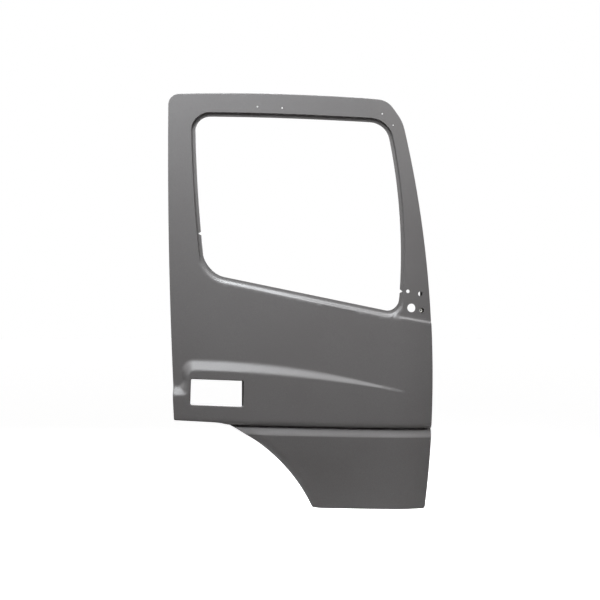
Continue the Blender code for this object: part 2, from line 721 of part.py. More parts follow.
def in_notch(point, margin=0.0):
    """Whether the hem flange is cut away here, where the skin steps across its edge."""
    x, z = point.real, point.imag
    drop = groove_drop(x, z)
    if abs(point - DOOR[5][0]) < CORNER_NOTCH - margin:
        return True
    upper = GROOVE_STEPS[0][0] - NOTCH_EASE + margin
    lower = GROOVE_STEPS[-1][0] + NOTCH_EASE - margin
    if x > ARCH_TOP_X - GROOVE_NOTCH_BACK + margin and upper < drop < lower:
        return True
    belt = above_sill(x, z) + PINCH_FLANGE
    if x > FRONT_BOTTOM_X - 0.03 and -SILL_RUN - NOTCH_EASE + margin < belt < NOTCH_EASE - margin:
        return True
    return x < 0.06 and PATCH_BOTTOM_Z - NOTCH_EASE + margin < z < PATCH_TOP_Z + NOTCH_EASE - margin


def notch_lines():
    start, end = WINDOW[3][0], WINDOW[2][0]
    along = (end - start) / abs(end - start)
    lines = []
    for drop in (GROOVE_STEPS[0][0] - NOTCH_EASE, GROOVE_STEPS[-1][0] + NOTCH_EASE):
        lines.append(line_at(lambda x, d=drop: GROOVE_Z + GROOVE_SLOPE * (x - GROOVE_X) - d, 0.1, 0.98, 0.09))
    for drop in (PINCH_FLANGE + SILL_RUN + NOTCH_EASE, PINCH_FLANGE - NOTCH_EASE):
        base = start - 1j * along * drop
        lines.append(([base + along * (x - base.real) / along.real for x in (0.90, 0.98)], False))
    x = ARCH_TOP_X - GROOVE_NOTCH_BACK
    lines.append(([complex(x, REAR_BOTTOM_Z - 0.02), complex(x, REAR_BOTTOM_Z + 0.02)], False))
    foot = DOOR[5][0]
    around = circle(foot.real, foot.imag, CORNER_NOTCH, 24)
    lines.append((around + around[:1], False))
    for z in (PATCH_BOTTOM_Z - NOTCH_EASE, PATCH_TOP_Z + NOTCH_EASE):
        lines.append(([complex(0.06, z), complex(-0.02, z)], False))
    return lines


def inner_depth(x, z):
    point = complex(x, z)
    to_window = gap_to(point, OPENING)
    face = face_depth(x, z)
    if to_window < PINCH_FLANGE + REBATE_RUN + 0.002:
        wall = ramp(to_window, PINCH_FLANGE + 0.0005, PINCH_FLANGE + REBATE_RUN - 0.0005)
        return pinch_depth(x, z) * (1 - wall) + face * wall
    to_edge = gap_to(point, INNER_EDGE)
    if to_edge < HEM_FLANGE + WALL_RUN:
        wall = ramp(to_edge, HEM_FLANGE + 0.0005, HEM_FLANGE + WALL_RUN - 0.0005)
        behind = SKIN + HEM_GAP + (NOTCH_RISE if in_notch(point, 0.001) else 0)
        return behind_skin(x, z, behind) * (1 - wall) + face * wall
    return face


def near_edge(lines, reach=HEM_FLANGE + 0.0035, step=0.003):
    """The parts of some bend lines that cross the hem flange."""
    kept = []
    for points, _ in lines:
        run = []
        for a, b in zip(points, points[1:]):
            count = max(1, math.ceil(abs(b - a) / step))
            spots = [a + (b - a) * k / count for k in range(count + 1)]
            for spot in spots:
                if gap_to(spot, EDGE) < (reach if inside(spot, EDGE) else 0.008):
                    run.append(spot)
                elif run:
                    kept.append(([run[0], run[len(run) // 2], run[-1]], False))
                    run = []
        if len(run) > 2:
            kept.append(([run[0], run[len(run) // 2], run[-1]], False))
    return [line for line in kept if abs(line[0][0] - line[0][-1]) > 0.004]


def inner_panel():
    edge = trace(INNER_DOOR, 0.0020, 0.06)
    holes = [trace(WINDOW, 0, 0.06)] + APERTURE_LOOPS
    holes += [circle(x, z + 0.012, 0.007, 8) for x, z, _ in HEADER_HOLES] + notch_loops()
    holes += [circle(x, z, CLIP_HOLE, 8) for x, z in TRIM_CLIPS]
    lines = [(trace(INNER_DOOR, HEM_FLANGE, 0.06), True),
             (trace(INNER_DOOR, HEM_FLANGE + WALL_RUN, 0.06), True),
             (trace(WINDOW, -PINCH_FLANGE, 0.06), True),
             (trace(WINDOW, -PINCH_FLANGE - REBATE_RUN, 0.06), True)]
    for aperture in APERTURES:
        lines += [(trace(aperture, -RECESS_WIDTH, 0.12), True),
                  (trace(aperture, -RECESS_WIDTH - RECESS_RUN, 0.12), True)]
    x, z, radius = SPEAKER
    lines += [(circle(x, z, radius + RECESS_WIDTH, 24), True),
              (circle(x, z, radius + RECESS_WIDTH + RECESS_RUN, 24), True)]
    for bead in BEADS:
        lines += [(bead_loop(bead, BEAD_RADIUS), True), (bead_loop(bead, BEAD_RADIUS - RECESS_RUN), True)]
    lines += near_edge(belt_lines() + groove_lines() + swell_lines() + notch_lines() + arch_lines()[1:])
    lines += arch_lines()[:1] + waist_lines()

    def notched(point):
        return in_notch(point) and gap_to(point, INNER_EDGE) < HEM_FLANGE - 0.0005

    return press("inner_panel", edge, inner_depth, INNER, holes, lines, 0.07, notched=notched)


# Pieces inside the door

def pan(name, outline, depth, thickness, rise, holes=(), lines=(), grid=0.08, flange=None, run=None):
    """Sheet with a flat flange all round and a raised middle, rise metres along Y."""
    flange = RAIL_FLANGE if flange is None else flange
    run = RAIL_RUN if run is None else run
    edge = trace(outline, 0, 0.09)
    fine = trace(outline, 0, 0.03)

    def at(x, z):
        away = gap_to(complex(x, z), fine)
        return depth(x, z) + rise * ramp(away, flange + 0.0006, flange + run - 0.0006)

    folds = [(trace(outline, flange, 0.09), True), (trace(outline, flange + run, 0.09), True)]
    return press(name, edge, at, thickness, holes, folds + list(lines), grid)


def along_side(at, inset, low, high):
    ends = [at(s) for s in (low, high)]
    return [p - 1j * t * inset for p, t in ends]


def pillar_outlines():
    """Strips between the door edge and the window, for the frame reinforcements."""
    rear_window = side(WINDOW[3][0], WINDOW[0][0], WINDOW[3][2])[1]
    front_window = side(WINDOW[1][0], WINDOW[2][0], WINDOW[1][2])[1]
    top_window = side(WINDOW[0][0], WINDOW[1][0], WINDOW[0][2])[1]
    header = side(DOOR[1][0], DOOR[2][0], DOOR[1][2])[1]
    outer, inner = FRAME_INSET, -FRAME_INSET
    rear = along_side(REAR_SIDE, outer, 0.50, 0.91) + along_side(rear_window, inner, 0.93, 0.20)
    front = along_side(front_window, inner, 0.74, 0.20) + along_side(FRONT_SIDE, outer, 0.10, 0.40)
    top = along_side(header, outer, 0.07, 0.93)
    under = along_side(top_window, inner, 0.95, 0.05)
    radius = 0.004
    return {
        "rear_pillar_reinforcement": [(rear[0], radius, REAR_BOW), (rear[1], radius, 0),
                                      (rear[2], radius, -WINDOW_REAR_BOW), (rear[3], radius, 0)],
        "front_pillar_reinforcement": [(front[0], radius, -WINDOW_FRONT_BOW), (front[1], radius, 0),
                                       (front[2], radius, FRONT_BOW), (front[3], radius, 0)],
        "header_reinforcement": [(top[0], radius, HEADER_BOW), (top[1], radius, 0),
                                 (under[0], radius, -WINDOW_TOP_BOW), (under[1], radius, 0)]}


def frame_reinforcements():
    """Channels welded inside the window frame, against the inner panel."""
    def seat(x, z):
        return barrel(x, z) + FRAME_DEPTH - GAP - CHANNEL_SHEET - 0.0003

    for name, outline in pillar_outlines().items():
        holes = []
        if name == "header_reinforcement":
            holes = [circle(x, z + 0.006, 0.008, 8) for x, z, _ in HEADER_HOLES[:3]]
        rise = FRONT_PILLAR_RISE if name.startswith("front") else PILLAR_RISE
        pan(name, outline, seat, CHANNEL_SHEET, -rise, holes, grid=0.12)


def sill_strip(top, height, x_from, x_to):
    start, end = WINDOW[3][0], WINDOW[2][0]
    along = (end - start) / abs(end - start)
    corners = []
    for x, drop in ((x_from, top + height), (x_from, top), (x_to, top), (x_to, top + height)):
        base = start - 1j * along * drop
        corners.append((base + along * (x - base.real) / along.real, 0.006, 0))
    return corners


def waist_rails():
    """Rails either side of the glass slot, one behind the skin and one on the inner panel."""
    outer = sill_strip(PINCH_FLANGE + SILL_RUN + 0.004, WAIST_RAIL_HEIGHT,
                       SILL_REAR_X - WAIST_REAR_REACH, FRONT_BOTTOM_X - WAIST_OUTER_SHORT)
    pan("waist_rail_outer", outer, lambda x, z: behind_skin(x, z, SKIN + SEAT), CHANNEL_SHEET,
        WAIST_OUTER_RISE, grid=0.085)
    inner = sill_strip(PINCH_FLANGE + SILL_RUN + 0.010, WAIST_RAIL_HEIGHT,
                       SILL_REAR_X - WAIST_REAR_REACH, FRONT_BOTTOM_X - WAIST_INNER_SHORT)
    pan("waist_rail_inner", inner, lambda x, z: barrel(x, z) + FRAME_DEPTH - SEAT - CHANNEL_SHEET,
        CHANNEL_SHEET, -WAIST_INNER_RISE, grid=0.07)


def bolt_on(name, matrix, outline, holes, thickness, **finish):
    """Flat plate cut from an outline, its mid plane at the matrix and its normal along local Z."""
    curve = bpy.data.curves.new(name, "CURVE")
    curve.dimensions = "2D"
    curve.fill_mode = "BOTH"
    curve.extrude = thickness / 2
    for run in [outline] + list(holes):
        spline = curve.splines.new("POLY")
        spline.points.add(len(run) - 1)
        for point, spot in zip(spline.points, run):
            point.co = (spot.real, spot.imag, 0, 1)
        spline.use_cyclic_u = True
    curve.materials.append(material(name + "_finish", **finish))
    plate = bpy.data.objects.new(name, curve)
    PARTS.objects.link(plate)
    plate.parent = ORIGIN
    plate.matrix_local = matrix
    return plate


def frame_at(origin, z_axis, x_axis):
    """Matrix whose local Z and X follow the two axes."""
    third = Vector(z_axis).normalized()
    first = (Vector(x_axis) - third * Vector(x_axis).dot(third)).normalized()
    second = third.cross(first)
    matrix = Matrix((first, second, third)).transposed().to_4x4()
    matrix.translation = origin
    return matrix


def wall_frame(at, height, depth, back):
    """Frame on the inner panel's edge wall: X down the wall's length, Y across it, Z outwards.
    back is how far inside the wall the origin lies."""
    low, high = 0.0, 1.0
    rising = at(1.0)[0].imag > at(0.0)[0].imag
    for _ in range(40):
        mid = (low + high) / 2
        if (at(mid)[0].imag < height) == rising:
            low = mid
        else:
            high = mid
    point, along = at(low)
    inward = -1j * along
    hem = behind_skin(point.real, point.imag, SKIN + HEM_GAP)
    run = HEM_FLANGE + WALL_RUN * (depth - hem) / (LOWER_FACE - hem)
    spot = point + inward * run
    draft = WALL_RUN / (LOWER_FACE - hem)
    outwards = Vector((-inward.real, draft, -inward.imag)).normalized()
    origin = Vector((spot.real, depth, spot.imag)) - outwards * back
    return frame_at(origin, outwards, (along.real, 0, along.imag))


def rectangle(width, height, radius=0.005):
    half = complex(width / 2, height / 2)
    corners = [complex(-half.real, -half.imag), complex(-half.real, half.imag),
               half, complex(half.real, -half.imag)]
    return trace([(corner, radius, 0) for corner in corners], 0, 1.0, 30)


def cutter(name, matrix, radius, length, sides=16):
    mesh = bmesh.new()
    bmesh.ops.create_cone(mesh, cap_ends=True, segments=sides, radius1=radius, radius2=radius, depth=length)
    data = bpy.data.meshes.new(name)
    mesh.to_mesh(data)
    mesh.free()
    tool = bpy.data.objects.new(name, data)
    CUTTERS.objects.link(tool)
    tool.parent = ORIGIN
    tool.matrix_local = matrix
    tool.hide_render = True
    tool.display_type = "WIRE"
    return tool


def cut(piece, tool):
    step = piece.modifiers.new(tool.name, "BOOLEAN")
    step.operation = "DIFFERENCE"
    step.object = tool


def hinge_plates(inner):
    """Behind each hinge: a reinforcement against the wall and a tapping plate behind that."""
    for name, height in zip(("upper", "lower"), HINGE_HEIGHTS):
        depth = HINGE_DEPTH
        bolts = [-HINGE_BOLT_SPACING / 2, HINGE_BOLT_SPACING / 2]
        outer = wall_frame(FRONT_SIDE, height, depth, WALL_GAP + HINGE_REINFORCEMENT / 2)
        bolt_on("hinge_reinforcement_" + name, outer, rectangle(HINGE_PLATE_HEIGHT, HINGE_PLATE_WIDTH),
                [circle(b, 0, HINGE_BOLT_RADIUS + 0.002) for b in bolts], HINGE_REINFORCEMENT)
        back = WALL_GAP + HINGE_REINFORCEMENT + GAP + TAPPING_PLATE / 2
        inside_frame = wall_frame(FRONT_SIDE, height, depth, back)
        bolt_on("hinge_tapping_plate_" + name, inside_frame,
                rectangle(HINGE_BOLT_SPACING + 0.026, HINGE_PLATE_WIDTH - 0.010),
                [circle(b, 0, HINGE_BOLT_RADIUS) for b in bolts], TAPPING_PLATE, roughness=0.35, metallic=0.8)
        for k, b in enumerate(bolts):
            hole = outer @ Matrix.Translation((b, 0, 0))
            cut(inner, cutter("hinge_hole_%s_%d" % (name, k), hole, HINGE_BOLT_RADIUS + 0.003, 0.02))


def hinge_point(inner):
    """Point on the front wall, on the flat inboard strip that the upper hinge's leaf bears on."""
    outside = wall_frame(FRONT_SIDE, HINGE_HEIGHTS[0] + HINGE_FACE_RISE,
                         LOWER_FACE - HINGE_FACE_INSET, -0.01)
    graph = bpy.context.evaluated_depsgraph_get()
    found = inner.evaluated_get(graph).ray_cast(outside.translation, -outside.col[2].to_3d())
    return found[1]


def check_strap_plate(inner):
    """Plate behind the slot that the door's check strap runs through."""
    where = wall_frame(FRONT_SIDE, CHECK_HEIGHT, HINGE_DEPTH, WALL_GAP + 0.001)
    bolt_on("check_strap_plate", where, rectangle(0.070, 0.034), [circle(0, 0, 0.010)]
            + [circle(b, 0, 0.0035, 8) for b in (-0.024, 0.024)], 0.002)
    cut(inner, cutter("check_strap_slot", where, 0.011, 0.02))
    harness = wall_frame(FRONT_SIDE, HARNESS_HEIGHT, HINGE_DEPTH, 0)
    cut(inner, cutter("harness_hole", harness, HARNESS_RADIUS, 0.02))


def latch_reinforcement(inner):
    """Plate behind the rear wall where the latch is screwed on."""
    where = wall_frame(REAR_SIDE, LATCH_HEIGHT, LATCH_DEPTH, WALL_GAP + 0.001)
    screws = ((-0.038, 0.012), (0.038, 0.012), (0.0, -0.024))
    bolt_on("latch_reinforcement", where, rectangle(0.110, 0.060), [circle(0, 0, 0.0155, 16)]
            + [circle(x, y, 0.0035, 8) for x, y in screws], 0.002)
    cut(inner, cutter("latch_claw_hole", where, 0.0165, 0.02))
    for k, (x, y) in enumerate(screws):
        hole = where @ Matrix.Translation((x, y, 0))
        cut(inner, cutter("latch_screw_hole_%d" % k, hole, 0.0045, 0.02, 10))


def skin_backing(name, outline, holes, thickness, lines=(), gap=None):
    """Reinforcement that follows the inside of the skin."""
    behind = SKIN + (SEAT if gap is None else gap)
    return press(name, outline, lambda x, z: behind_skin(x, z, behind), thickness, holes, lines, 0.045)


def handle_reinforcement():
    handle = box_outline(HANDLE_X, HANDLE_Z, HANDLE_WIDTH, HANDLE_HEIGHT, HANDLE_TILT)
    ring = trace(handle, [-HANDLE_RING_REAR] + [-HANDLE_RING] * 3, 0.04, 30)
    clear = trace(handle, -0.0015, 0.04, 30)
    skin_backing("handle_reinforcement", ring, [clear], 0.0015, swell_lines(), 0.0009)


def mirror_reinforcement():
    """Thick plate behind the mirror arm's four holes, with a bush in the lowest one."""
    corners = ((0.8625, 0.702), (0.8625, 0.797), (0.9300, 0.797), (0.9345, 0.702))
    outline = trace([(complex(*corner), 0.008, 0) for corner in corners], 0, 0.06)
    holes = [circle(x, z, radius + 0.0010, 12) for x, z, radius in MIRROR_HOLES]
    rolls = [side_line(FRONT_SIDE, 0.06)]
    skin_backing("mirror_reinforcement", outline, holes, MIRROR_PLATE, rolls)
    x, z, radius = MIRROR_HOLES[3]
    slope = (skin_depth(x + 0.004, z) - skin_depth(x - 0.004, z)) / 0.008
    lean = (skin_depth(x, z + 0.004) - skin_depth(x, z - 0.004)) / 0.008
    inwards = Vector((-slope, 1, -lean)).normalized()
    back = SKIN + SEAT + MIRROR_PLATE + GAP + 0.0006
    start = Vector((x, skin_depth(x, z), z)) + inwards * back
    bush = bmesh.new()
    profile = ((radius + 0.005, 0.0), (radius + 0.005, 0.0025), (radius, 0.0025), (radius, BUSH_LENGTH),
               (0.005, BUSH_LENGTH), (0.005, 0.0))
    ring = [bush.verts.new((r, 0, y)) for r, y in profile]
    for a, b in zip(ring, ring[1:] + ring[:1]):
        bush.edges.new((b, a))
    piece = place("mirror_bush", bush, roughness=0.3, metallic=0.9)
    turn = piece.modifiers.new("Turn", "SCREW")
    turn.steps = turn.render_steps = 16
    turn.use_merge_vertices = True
    turn.merge_threshold = 0.00001
    piece.matrix_local = frame_at(start, inwards, (0, 0, 1))


def beam_frame():
    start, end = Vector(BEAM_REAR), Vector(BEAM_FRONT)
    return start, end, (end - start).normalized()


def intrusion_beam():
    """Side-impact tube across the door, open at both ends."""
    start, end, along = beam_frame()
    mesh = bmesh.new()
    bmesh.ops.create_cone(mesh, cap_ends=False, segments=20, radius1=BEAM_RADIUS, radius2=BEAM_RADIUS,
                          depth=(end - start).length)
    tube = place("intrusion_beam", mesh, roughness=0.5)
    tube.matrix_local = frame_at((start + end) / 2, along, (0, 1, 0))
    thicken(tube, BEAM_WALL)


def beam_brackets():
    """Channels that carry the tube's ends from the inner panel."""
    start, end, along = beam_frame()
    for name, base, inwards in (("beam_bracket_rear", start, along), ("beam_bracket_front", end, -along)):
        middle = base + inwards * (BRACKET_LENGTH / 2 + 0.004)
        across = Vector((0, 1, 0)) - along * along.y
        half = BEAM_RADIUS + GAP + BRACKET
        reach = LOWER_FACE - GAP - middle.y - abs(along.y) * BRACKET_LENGTH / 2
        profile = ((-half, -0.006), (-half, reach), (half, reach), (half, -0.006))
        mesh = bmesh.new()
        run = [mesh.verts.new((u, v, -BRACKET_LENGTH / 2)) for u, v in profile]
        edges = [mesh.edges.new(pair) for pair in zip(run, run[1:])]
        grown = bmesh.ops.extrude_edge_only(mesh, edges=edges)["geom"]
        moved = [g for g in grown if isinstance(g, bmesh.types.BMVert)]
        bmesh.ops.translate(mesh, vec=(0, 0, BRACKET_LENGTH), verts=moved)
        bmesh.ops.recalc_face_normals(mesh, faces=mesh.faces)
        piece = place(name, mesh)
        piece.matrix_local = frame_at(middle, along, Vector(across).cross(along))
        thicken(piece, BRACKET)


def glass_channels():
    """Guides for the drop glass, below the sill at each end of the glass slot."""
    for name, where, facing in (("rear", GLASS_CHANNEL_REAR, -1), ("front", GLASS_CHANNEL_FRONT, 1)):
        x, y, top, low = where
        lean = Vector((GLASS_LEAN * (top - low), 0, top - low)).normalized()
        half, depth = GLASS_CHANNEL_WIDTH / 2, GLASS_CHANNEL_DEPTH * facing
        profile = ((0, -half), (depth, -half), (depth, half), (0, half))
        mesh = bmesh.new()
        run = [mesh.verts.new((u, v, 0)) for u, v in profile]
        edges = [mesh.edges.new(pair) for pair in zip(run, run[1:])]
        grown = bmesh.ops.extrude_edge_only(mesh, edges=edges)["geom"]
        moved = [g for g in grown if isinstance(g, bmesh.types.BMVert)]
        bmesh.ops.translate(mesh, vec=(0, 0, top - low), verts=moved)
        bmesh.ops.recalc_face_normals(mesh, faces=mesh.faces)
        piece = place("glass_channel_" + name, mesh)
        piece.matrix_local = frame_at((x, y, low), lean, (1, 0, 0))
        thicken(piece, CHANNEL_SHEET, 0)
        foot = Vector((x, y + half + CHANNEL_SHEET / 2 + GAP, low + GLASS_BRACKET_RISE))
        bracket_to_face("glass_bracket_" + name, foot, facing)


def bracket_to_face(name, foot, facing):
    """Angle between a glass channel and the inner panel's trim face."""
    reach = LOWER_FACE - GAP - foot.y
    start = facing * GLASS_CHANNEL_DEPTH * 0.5
    channel_foot, face_foot = GLASS_BRACKET_FEET
    profile = ((start - facing * channel_foot, 0), (start, 0),
               (start, reach), (start - facing * face_foot, reach))
    mesh = bmesh.new()
    run = [mesh.verts.new((u, v, -GLASS_BRACKET_HEIGHT / 2)) for u, v in profile]
    edges = [mesh.edges.new(pair) for pair in zip(run, run[1:])]
    grown = bmesh.ops.extrude_edge_only(mesh, edges=edges)["geom"]
    moved = [g for g in grown if isinstance(g, bmesh.types.BMVert)]
    bmesh.ops.translate(mesh, vec=(0, 0, GLASS_BRACKET_HEIGHT), verts=moved)
    bmesh.ops.recalc_face_normals(mesh, faces=mesh.faces)
    piece = place(name, mesh)
    piece.location = foot
    thicken(piece, CHANNEL_SHEET, -1)


def anti_flutter_pads():
    """Foam blocks that steady the skin against the intrusion beam."""
    start, end, along = beam_frame()
    for name, share in PAD_PLACES:
        middle = start.lerp(end, share)
        near = skin_depth(middle.x, middle.z) + SKIN + PAD_GAP
        far = middle.y - BEAM_RADIUS - GAP - abs(along.y) * PAD_LENGTH / 2
        mesh = bmesh.new()
        bmesh.ops.create_cube(mesh, size=1, matrix=Matrix.Diagonal((PAD_LENGTH, far - near, PAD_HEIGHT, 1)))
        pad = place("anti_flutter_pad_" + name, mesh, colour=(0.03, 0.03, 0.03, 1), roughness=0.9, metallic=0)
        pad.location = (middle.x, (near + far) / 2, middle.z)
        edges = pad.modifiers.new("Edges", "BEVEL")
        edges.width = 0.002
        edges.segments = 1


for old in list(bpy.data.objects):
    bpy.data.objects.remove(old, do_unlink=True)
PARTS = bpy.data.collections.new("lorry_door_shell")
bpy.context.scene.collection.children.link(PARTS)
ORIGIN = bpy.data.objects.new("door_origin", None)
PARTS.objects.link(ORIGIN)
CUTTERS = bpy.data.collections.new("cutters")
bpy.context.scene.collection.children.link(CUTTERS)
outer_skin()
inner = inner_panel()
frame_reinforcements()
waist_rails()
hinge_plates(inner)
check_strap_plate(inner)
latch_reinforcement(inner)
handle_reinforcement()
mirror_reinforcement()
intrusion_beam()
beam_brackets()
anti_flutter_pads()
glass_channels()
ORIGIN.location = -hinge_point(inner)
bpy.context.view_layer.update()
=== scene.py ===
import math

import bmesh
import bpy
import numpy as np
from mathutils import Matrix, Vector
from mathutils.geometry import delaunay_2d_cdt
from mathutils.kdtree import KDTree


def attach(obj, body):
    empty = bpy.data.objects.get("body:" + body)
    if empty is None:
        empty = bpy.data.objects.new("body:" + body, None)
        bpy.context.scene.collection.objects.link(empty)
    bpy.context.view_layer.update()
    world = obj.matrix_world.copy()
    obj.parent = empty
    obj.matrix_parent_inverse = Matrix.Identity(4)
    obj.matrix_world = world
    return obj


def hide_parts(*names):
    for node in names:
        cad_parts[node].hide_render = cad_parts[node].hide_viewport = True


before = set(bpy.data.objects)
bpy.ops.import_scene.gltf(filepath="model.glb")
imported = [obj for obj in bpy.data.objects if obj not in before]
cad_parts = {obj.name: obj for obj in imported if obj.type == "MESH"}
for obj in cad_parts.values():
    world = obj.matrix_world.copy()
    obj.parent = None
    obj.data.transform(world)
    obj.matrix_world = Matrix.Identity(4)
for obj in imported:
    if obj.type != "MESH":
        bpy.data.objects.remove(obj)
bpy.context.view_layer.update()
print("model loaded, pieces:", len(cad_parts))

# The door is worked out in its own X-Z plane, with x + 1j * z for a point on it, and each sheet
# then gets its depth along Y. hingePoint carries that plane to the model's origin.
hingePoint = Vector((0.944942, 0.105035, 0.555629))

# Outline of the door, in metres. A bow is the radius of a side that bulges outwards.
door = {
    "height": 1.5125, "rearTopX": -0.0055, "rearLean": 0.0327, "rearBottomZ": 0.3202,
    "frontBottomX": 0.938, "frontBottomZ": -0.013, "headerFall": 0.0207, "headerLength": 0.8102,
    "shoulderX": 0.8608, "shoulderDrop": 0.098,
    "archRadius": 0.628, "archTopX": 0.209, "archTopFall": 0.0093, "archFootX": 0.524,
    "archFootZ": -0.003, "archFillet": 0.264,
    "rearBow": 33.3, "headerBow": 9.87, "frontBow": 4.42,
    "corners": {"topRear": 0.040, "topFront": 0.070, "shoulder": 0.140, "frontBottom": 0.010, "sharp": 0.006},
}
# Window opening, the rebate round it and the belt ledge that runs on from its sill.
# Bows go round from the header's, corners from the top rear one.
window = {
    "headerWidth": 0.085, "rearPillar": 0.100, "frontPillarTop": 0.0628, "frontPillarWaist": 0.102,
    "topFall": 0.023, "sillRear": (0.136, 0.8496), "sillFrontZ": 0.705,
    "bows": (17.1, 2.246, 0, 6.47), "corners": (0.053, 0.077, 0.040, 0.100),
    "flange": 0.0105, "rebateRun": 0.0045, "sillFlange": 0.009, "sillRun": 0.0155,
    "sillDepth": 0.0095, "headerDepth": 0.008, "depthChange": (0.02, 0.25),   # heights over the sill
    "ledgeRun": 0.0095, "ledgeRise": 0.034, "ledgeFrom": 0.668, "ledgeRound": 0.25,
}
# Relief of the outer skin: its curvature, rolled edges, swell, patch behind the handle and groove.
pressing = {
    "barrelZ": 0.602, "barrelX": 0.430, "barrelRadiusZ": 7.5, "barrelRadiusX": 12.0,
    "rollWidth": 0.140, "rollRadius": 0.50,
    "archRollWidth": 0.030, "archRollRadius": 0.036, "archRollFade": (0.03, 0.13),
    "setback": 0.007, "setbackFrom": 0.250, "setbackTo": 0.750,
    "swell": 0.021, "swellRearX": 0.052, "swellFrontX": 0.872,
    "swellFoot": (0.050, 0.046, 0.006), "swellShelf": (0.080, 0.024, 0.0),   # rear end, its corner, lean
    "swellTopZ": 0.541, "swellSag": 0.185, "swellBand": 0.043, "swellTaper": 2.2,
    "swellRound": (0.28, 0.10),
    "patchTop": 0.446, "patchBottom": 0.408, "patchCorner": 0.018,
    "grooveX": 0.2634, "grooveZ": 0.3020, "grooveSlope": -0.0271, "grooveDepth": 0.018,
    "grooveProfile": (   # distance below the groove line in mm, share of its depth
        (-18, 0), (-14, 0.02), (-11, 0.055), (-9, 0.10), (-5, 0.26), (-1, 0.43), (0, 0.80), (0.8, 0.96),
        (1.6, 1), (3, 0.93), (4.5, 0.74), (8.5, 0.42), (10, 0.36), (31, -0.18), (32.5, -0.198), (34, -0.20)),
}
# Gauges, gaps and edges that both sheets share.
sheet = {
    "skin": 0.0009, "inner": 0.0008, "gap": 0.0003, "hemGap": 0.0006, "hemLip": 0.009, "hemFlange": 0.015,
    "wallRun": 0.004, "trimFace": 0.110, "frameDepth": 0.052, "glassSlot": 0.030, "flangeCorner": 0.022,
    "wallRound": 0.65,
}
batch = 3000   # points measured at a time
smallestCorner = 0.0015


# Length of a side and a function giving point and heading along it.
def side(start, end, bow):
    chord = end - start
    heading = chord / abs(chord)
    if bow == 0:
        return abs(chord), lambda s: (start + chord * s, heading)
    bend = math.asin(abs(chord) / (2 * bow))
    centre = (start + end) / 2 - 1j * heading * bow * math.cos(bend)

    def at(s):
        along = heading * np.exp(1j * bend * (1 - 2 * s))
        return centre + bow * 1j * along, along

    return abs(2 * bend * bow), at


# Where the rounded corners cut each side, as shares of it, and how many steps they take.
def sideEnds(outline, insets, sides, spacing, turn):
    starts, ends, arcs = [], [], []
    for i, (corner, radius, _) in enumerate(outline):
        before, after = insets[i - 1], insets[i]
        into, out = sides[i - 1][1](1.0)[1], sides[i][1](0.0)[1]
        angle = np.angle(out / into)
        a, b = corner - 1j * into * before, corner - 1j * out * after
        moved = a + into * ((b - a) * np.conj(out)).imag / (into * np.conj(out)).imag
        mean = (before + after) / 2
        rounding = max(radius - mean, smallestCorner) if angle < 0 else radius + mean
        length = rounding * math.tan(abs(angle) / 2)
        ends.append(1 - (((corner - moved) * np.conj(into)).real + length) / sides[i - 1][0])
        starts.append((((moved - corner) * np.conj(out)).real + length) / sides[i][0])
        arcs.append(max(3, math.ceil(math.degrees(abs(angle)) / turn), math.ceil(2 * length / spacing)))
    return starts, ends, arcs


# Points round an outline of (corner, radius, bow of next side), moved inwards by inset.
# Traces that are like one inset have the same number of points. Each corner's curve runs from
# point p with heading t to point q with heading u.
def trace(outline, inset=0.0, spacing=0.012, turn=8, like=None):
    count = len(outline)
    insets = inset if isinstance(inset, (list, tuple)) else [inset] * count
    sides = [side(outline[i][0], outline[(i + 1) % count][0], outline[i][2]) for i in range(count)]
    starts, ends, _ = sideEnds(outline, insets, sides, spacing, turn)
    likes = insets if like is None else [like] * count
    likeStarts, likeEnds, arcs = sideEnds(outline, likes, sides, spacing, turn)
    points = []
    for i in range(count):
        p, t = sides[i - 1][1](ends[i])
        q, u = sides[i][1](starts[i])
        p, q = p - 1j * t * insets[i - 1], q - 1j * u * insets[i]
        angle = abs(np.angle(u / t))
        reach = 4 / 3 * math.tan(angle / 4) * abs(q - p) / (2 * math.sin(angle / 2))
        for k in range(arcs[i] + 1):
            w = k / arcs[i]
            curve = (1 - w) ** 3 * p + 3 * (1 - w) ** 2 * w * (p + reach * t)
            points.append(curve + 3 * (1 - w) * w ** 2 * (q - reach * u) + w ** 3 * q)
        steps = max(1, round(sides[i][0] / spacing))
        low, high = likeStarts[i], likeEnds[(i + 1) % count]
        clear = 0.3 / steps   # keeps points off the corners
        shares = [k / steps for k in range(1, steps) if low + clear < k / steps < high - clear]
        for s in shares:
            own = starts[i] + (s - low) / (high - low) * (ends[(i + 1) % count] - starts[i])
            p, t = sides[i][1](own)
            points.append(p - 1j * t * insets[i])
    return points


# Clockwise, like the outlines.
def circle(x, z, radius, count):
    return [complex(x, z) + radius * np.exp(-2j * math.pi * k / count) for k in range(count)]


# Distance from each point to a closed run of points.
def gapTo(points, loop):
    points, a = np.atleast_1d(points), np.asarray(loop)
    step = np.roll(a, -1) - a
    length = np.abs(step) ** 2
    found = np.empty(len(points))
    for first in range(0, len(points), batch):
        p = points[first:first + batch, None]
        w = np.clip(((p - a) * np.conj(step)).real / length, 0, 1)
        found[first:first + batch] = np.abs(p - a - w * step).min(1)
    return found


# Which points lie within a closed run of points.
def inside(points, loop):
    points, a = np.atleast_1d(points), np.asarray(loop)
    b = np.roll(a, -1)
    flat = np.where(b.imag == a.imag, 1e-12, b.imag - a.imag)
    found = np.empty(len(points), bool)
    for first in range(0, len(points), batch):
        p = points[first:first + batch, None]
        crosses = (a.imag > p.imag) != (b.imag > p.imag)
        x = a.real + (p.imag - a.imag) * (b.real - a.real) / flat
        found[first:first + batch] = (crosses & (x > p.real)).sum(1) % 2 == 1
    return found


def smooth(value, low, high):
    w = np.clip((value - low) / (high - low), 0, 1)
    return w * w * (3 - 2 * w)


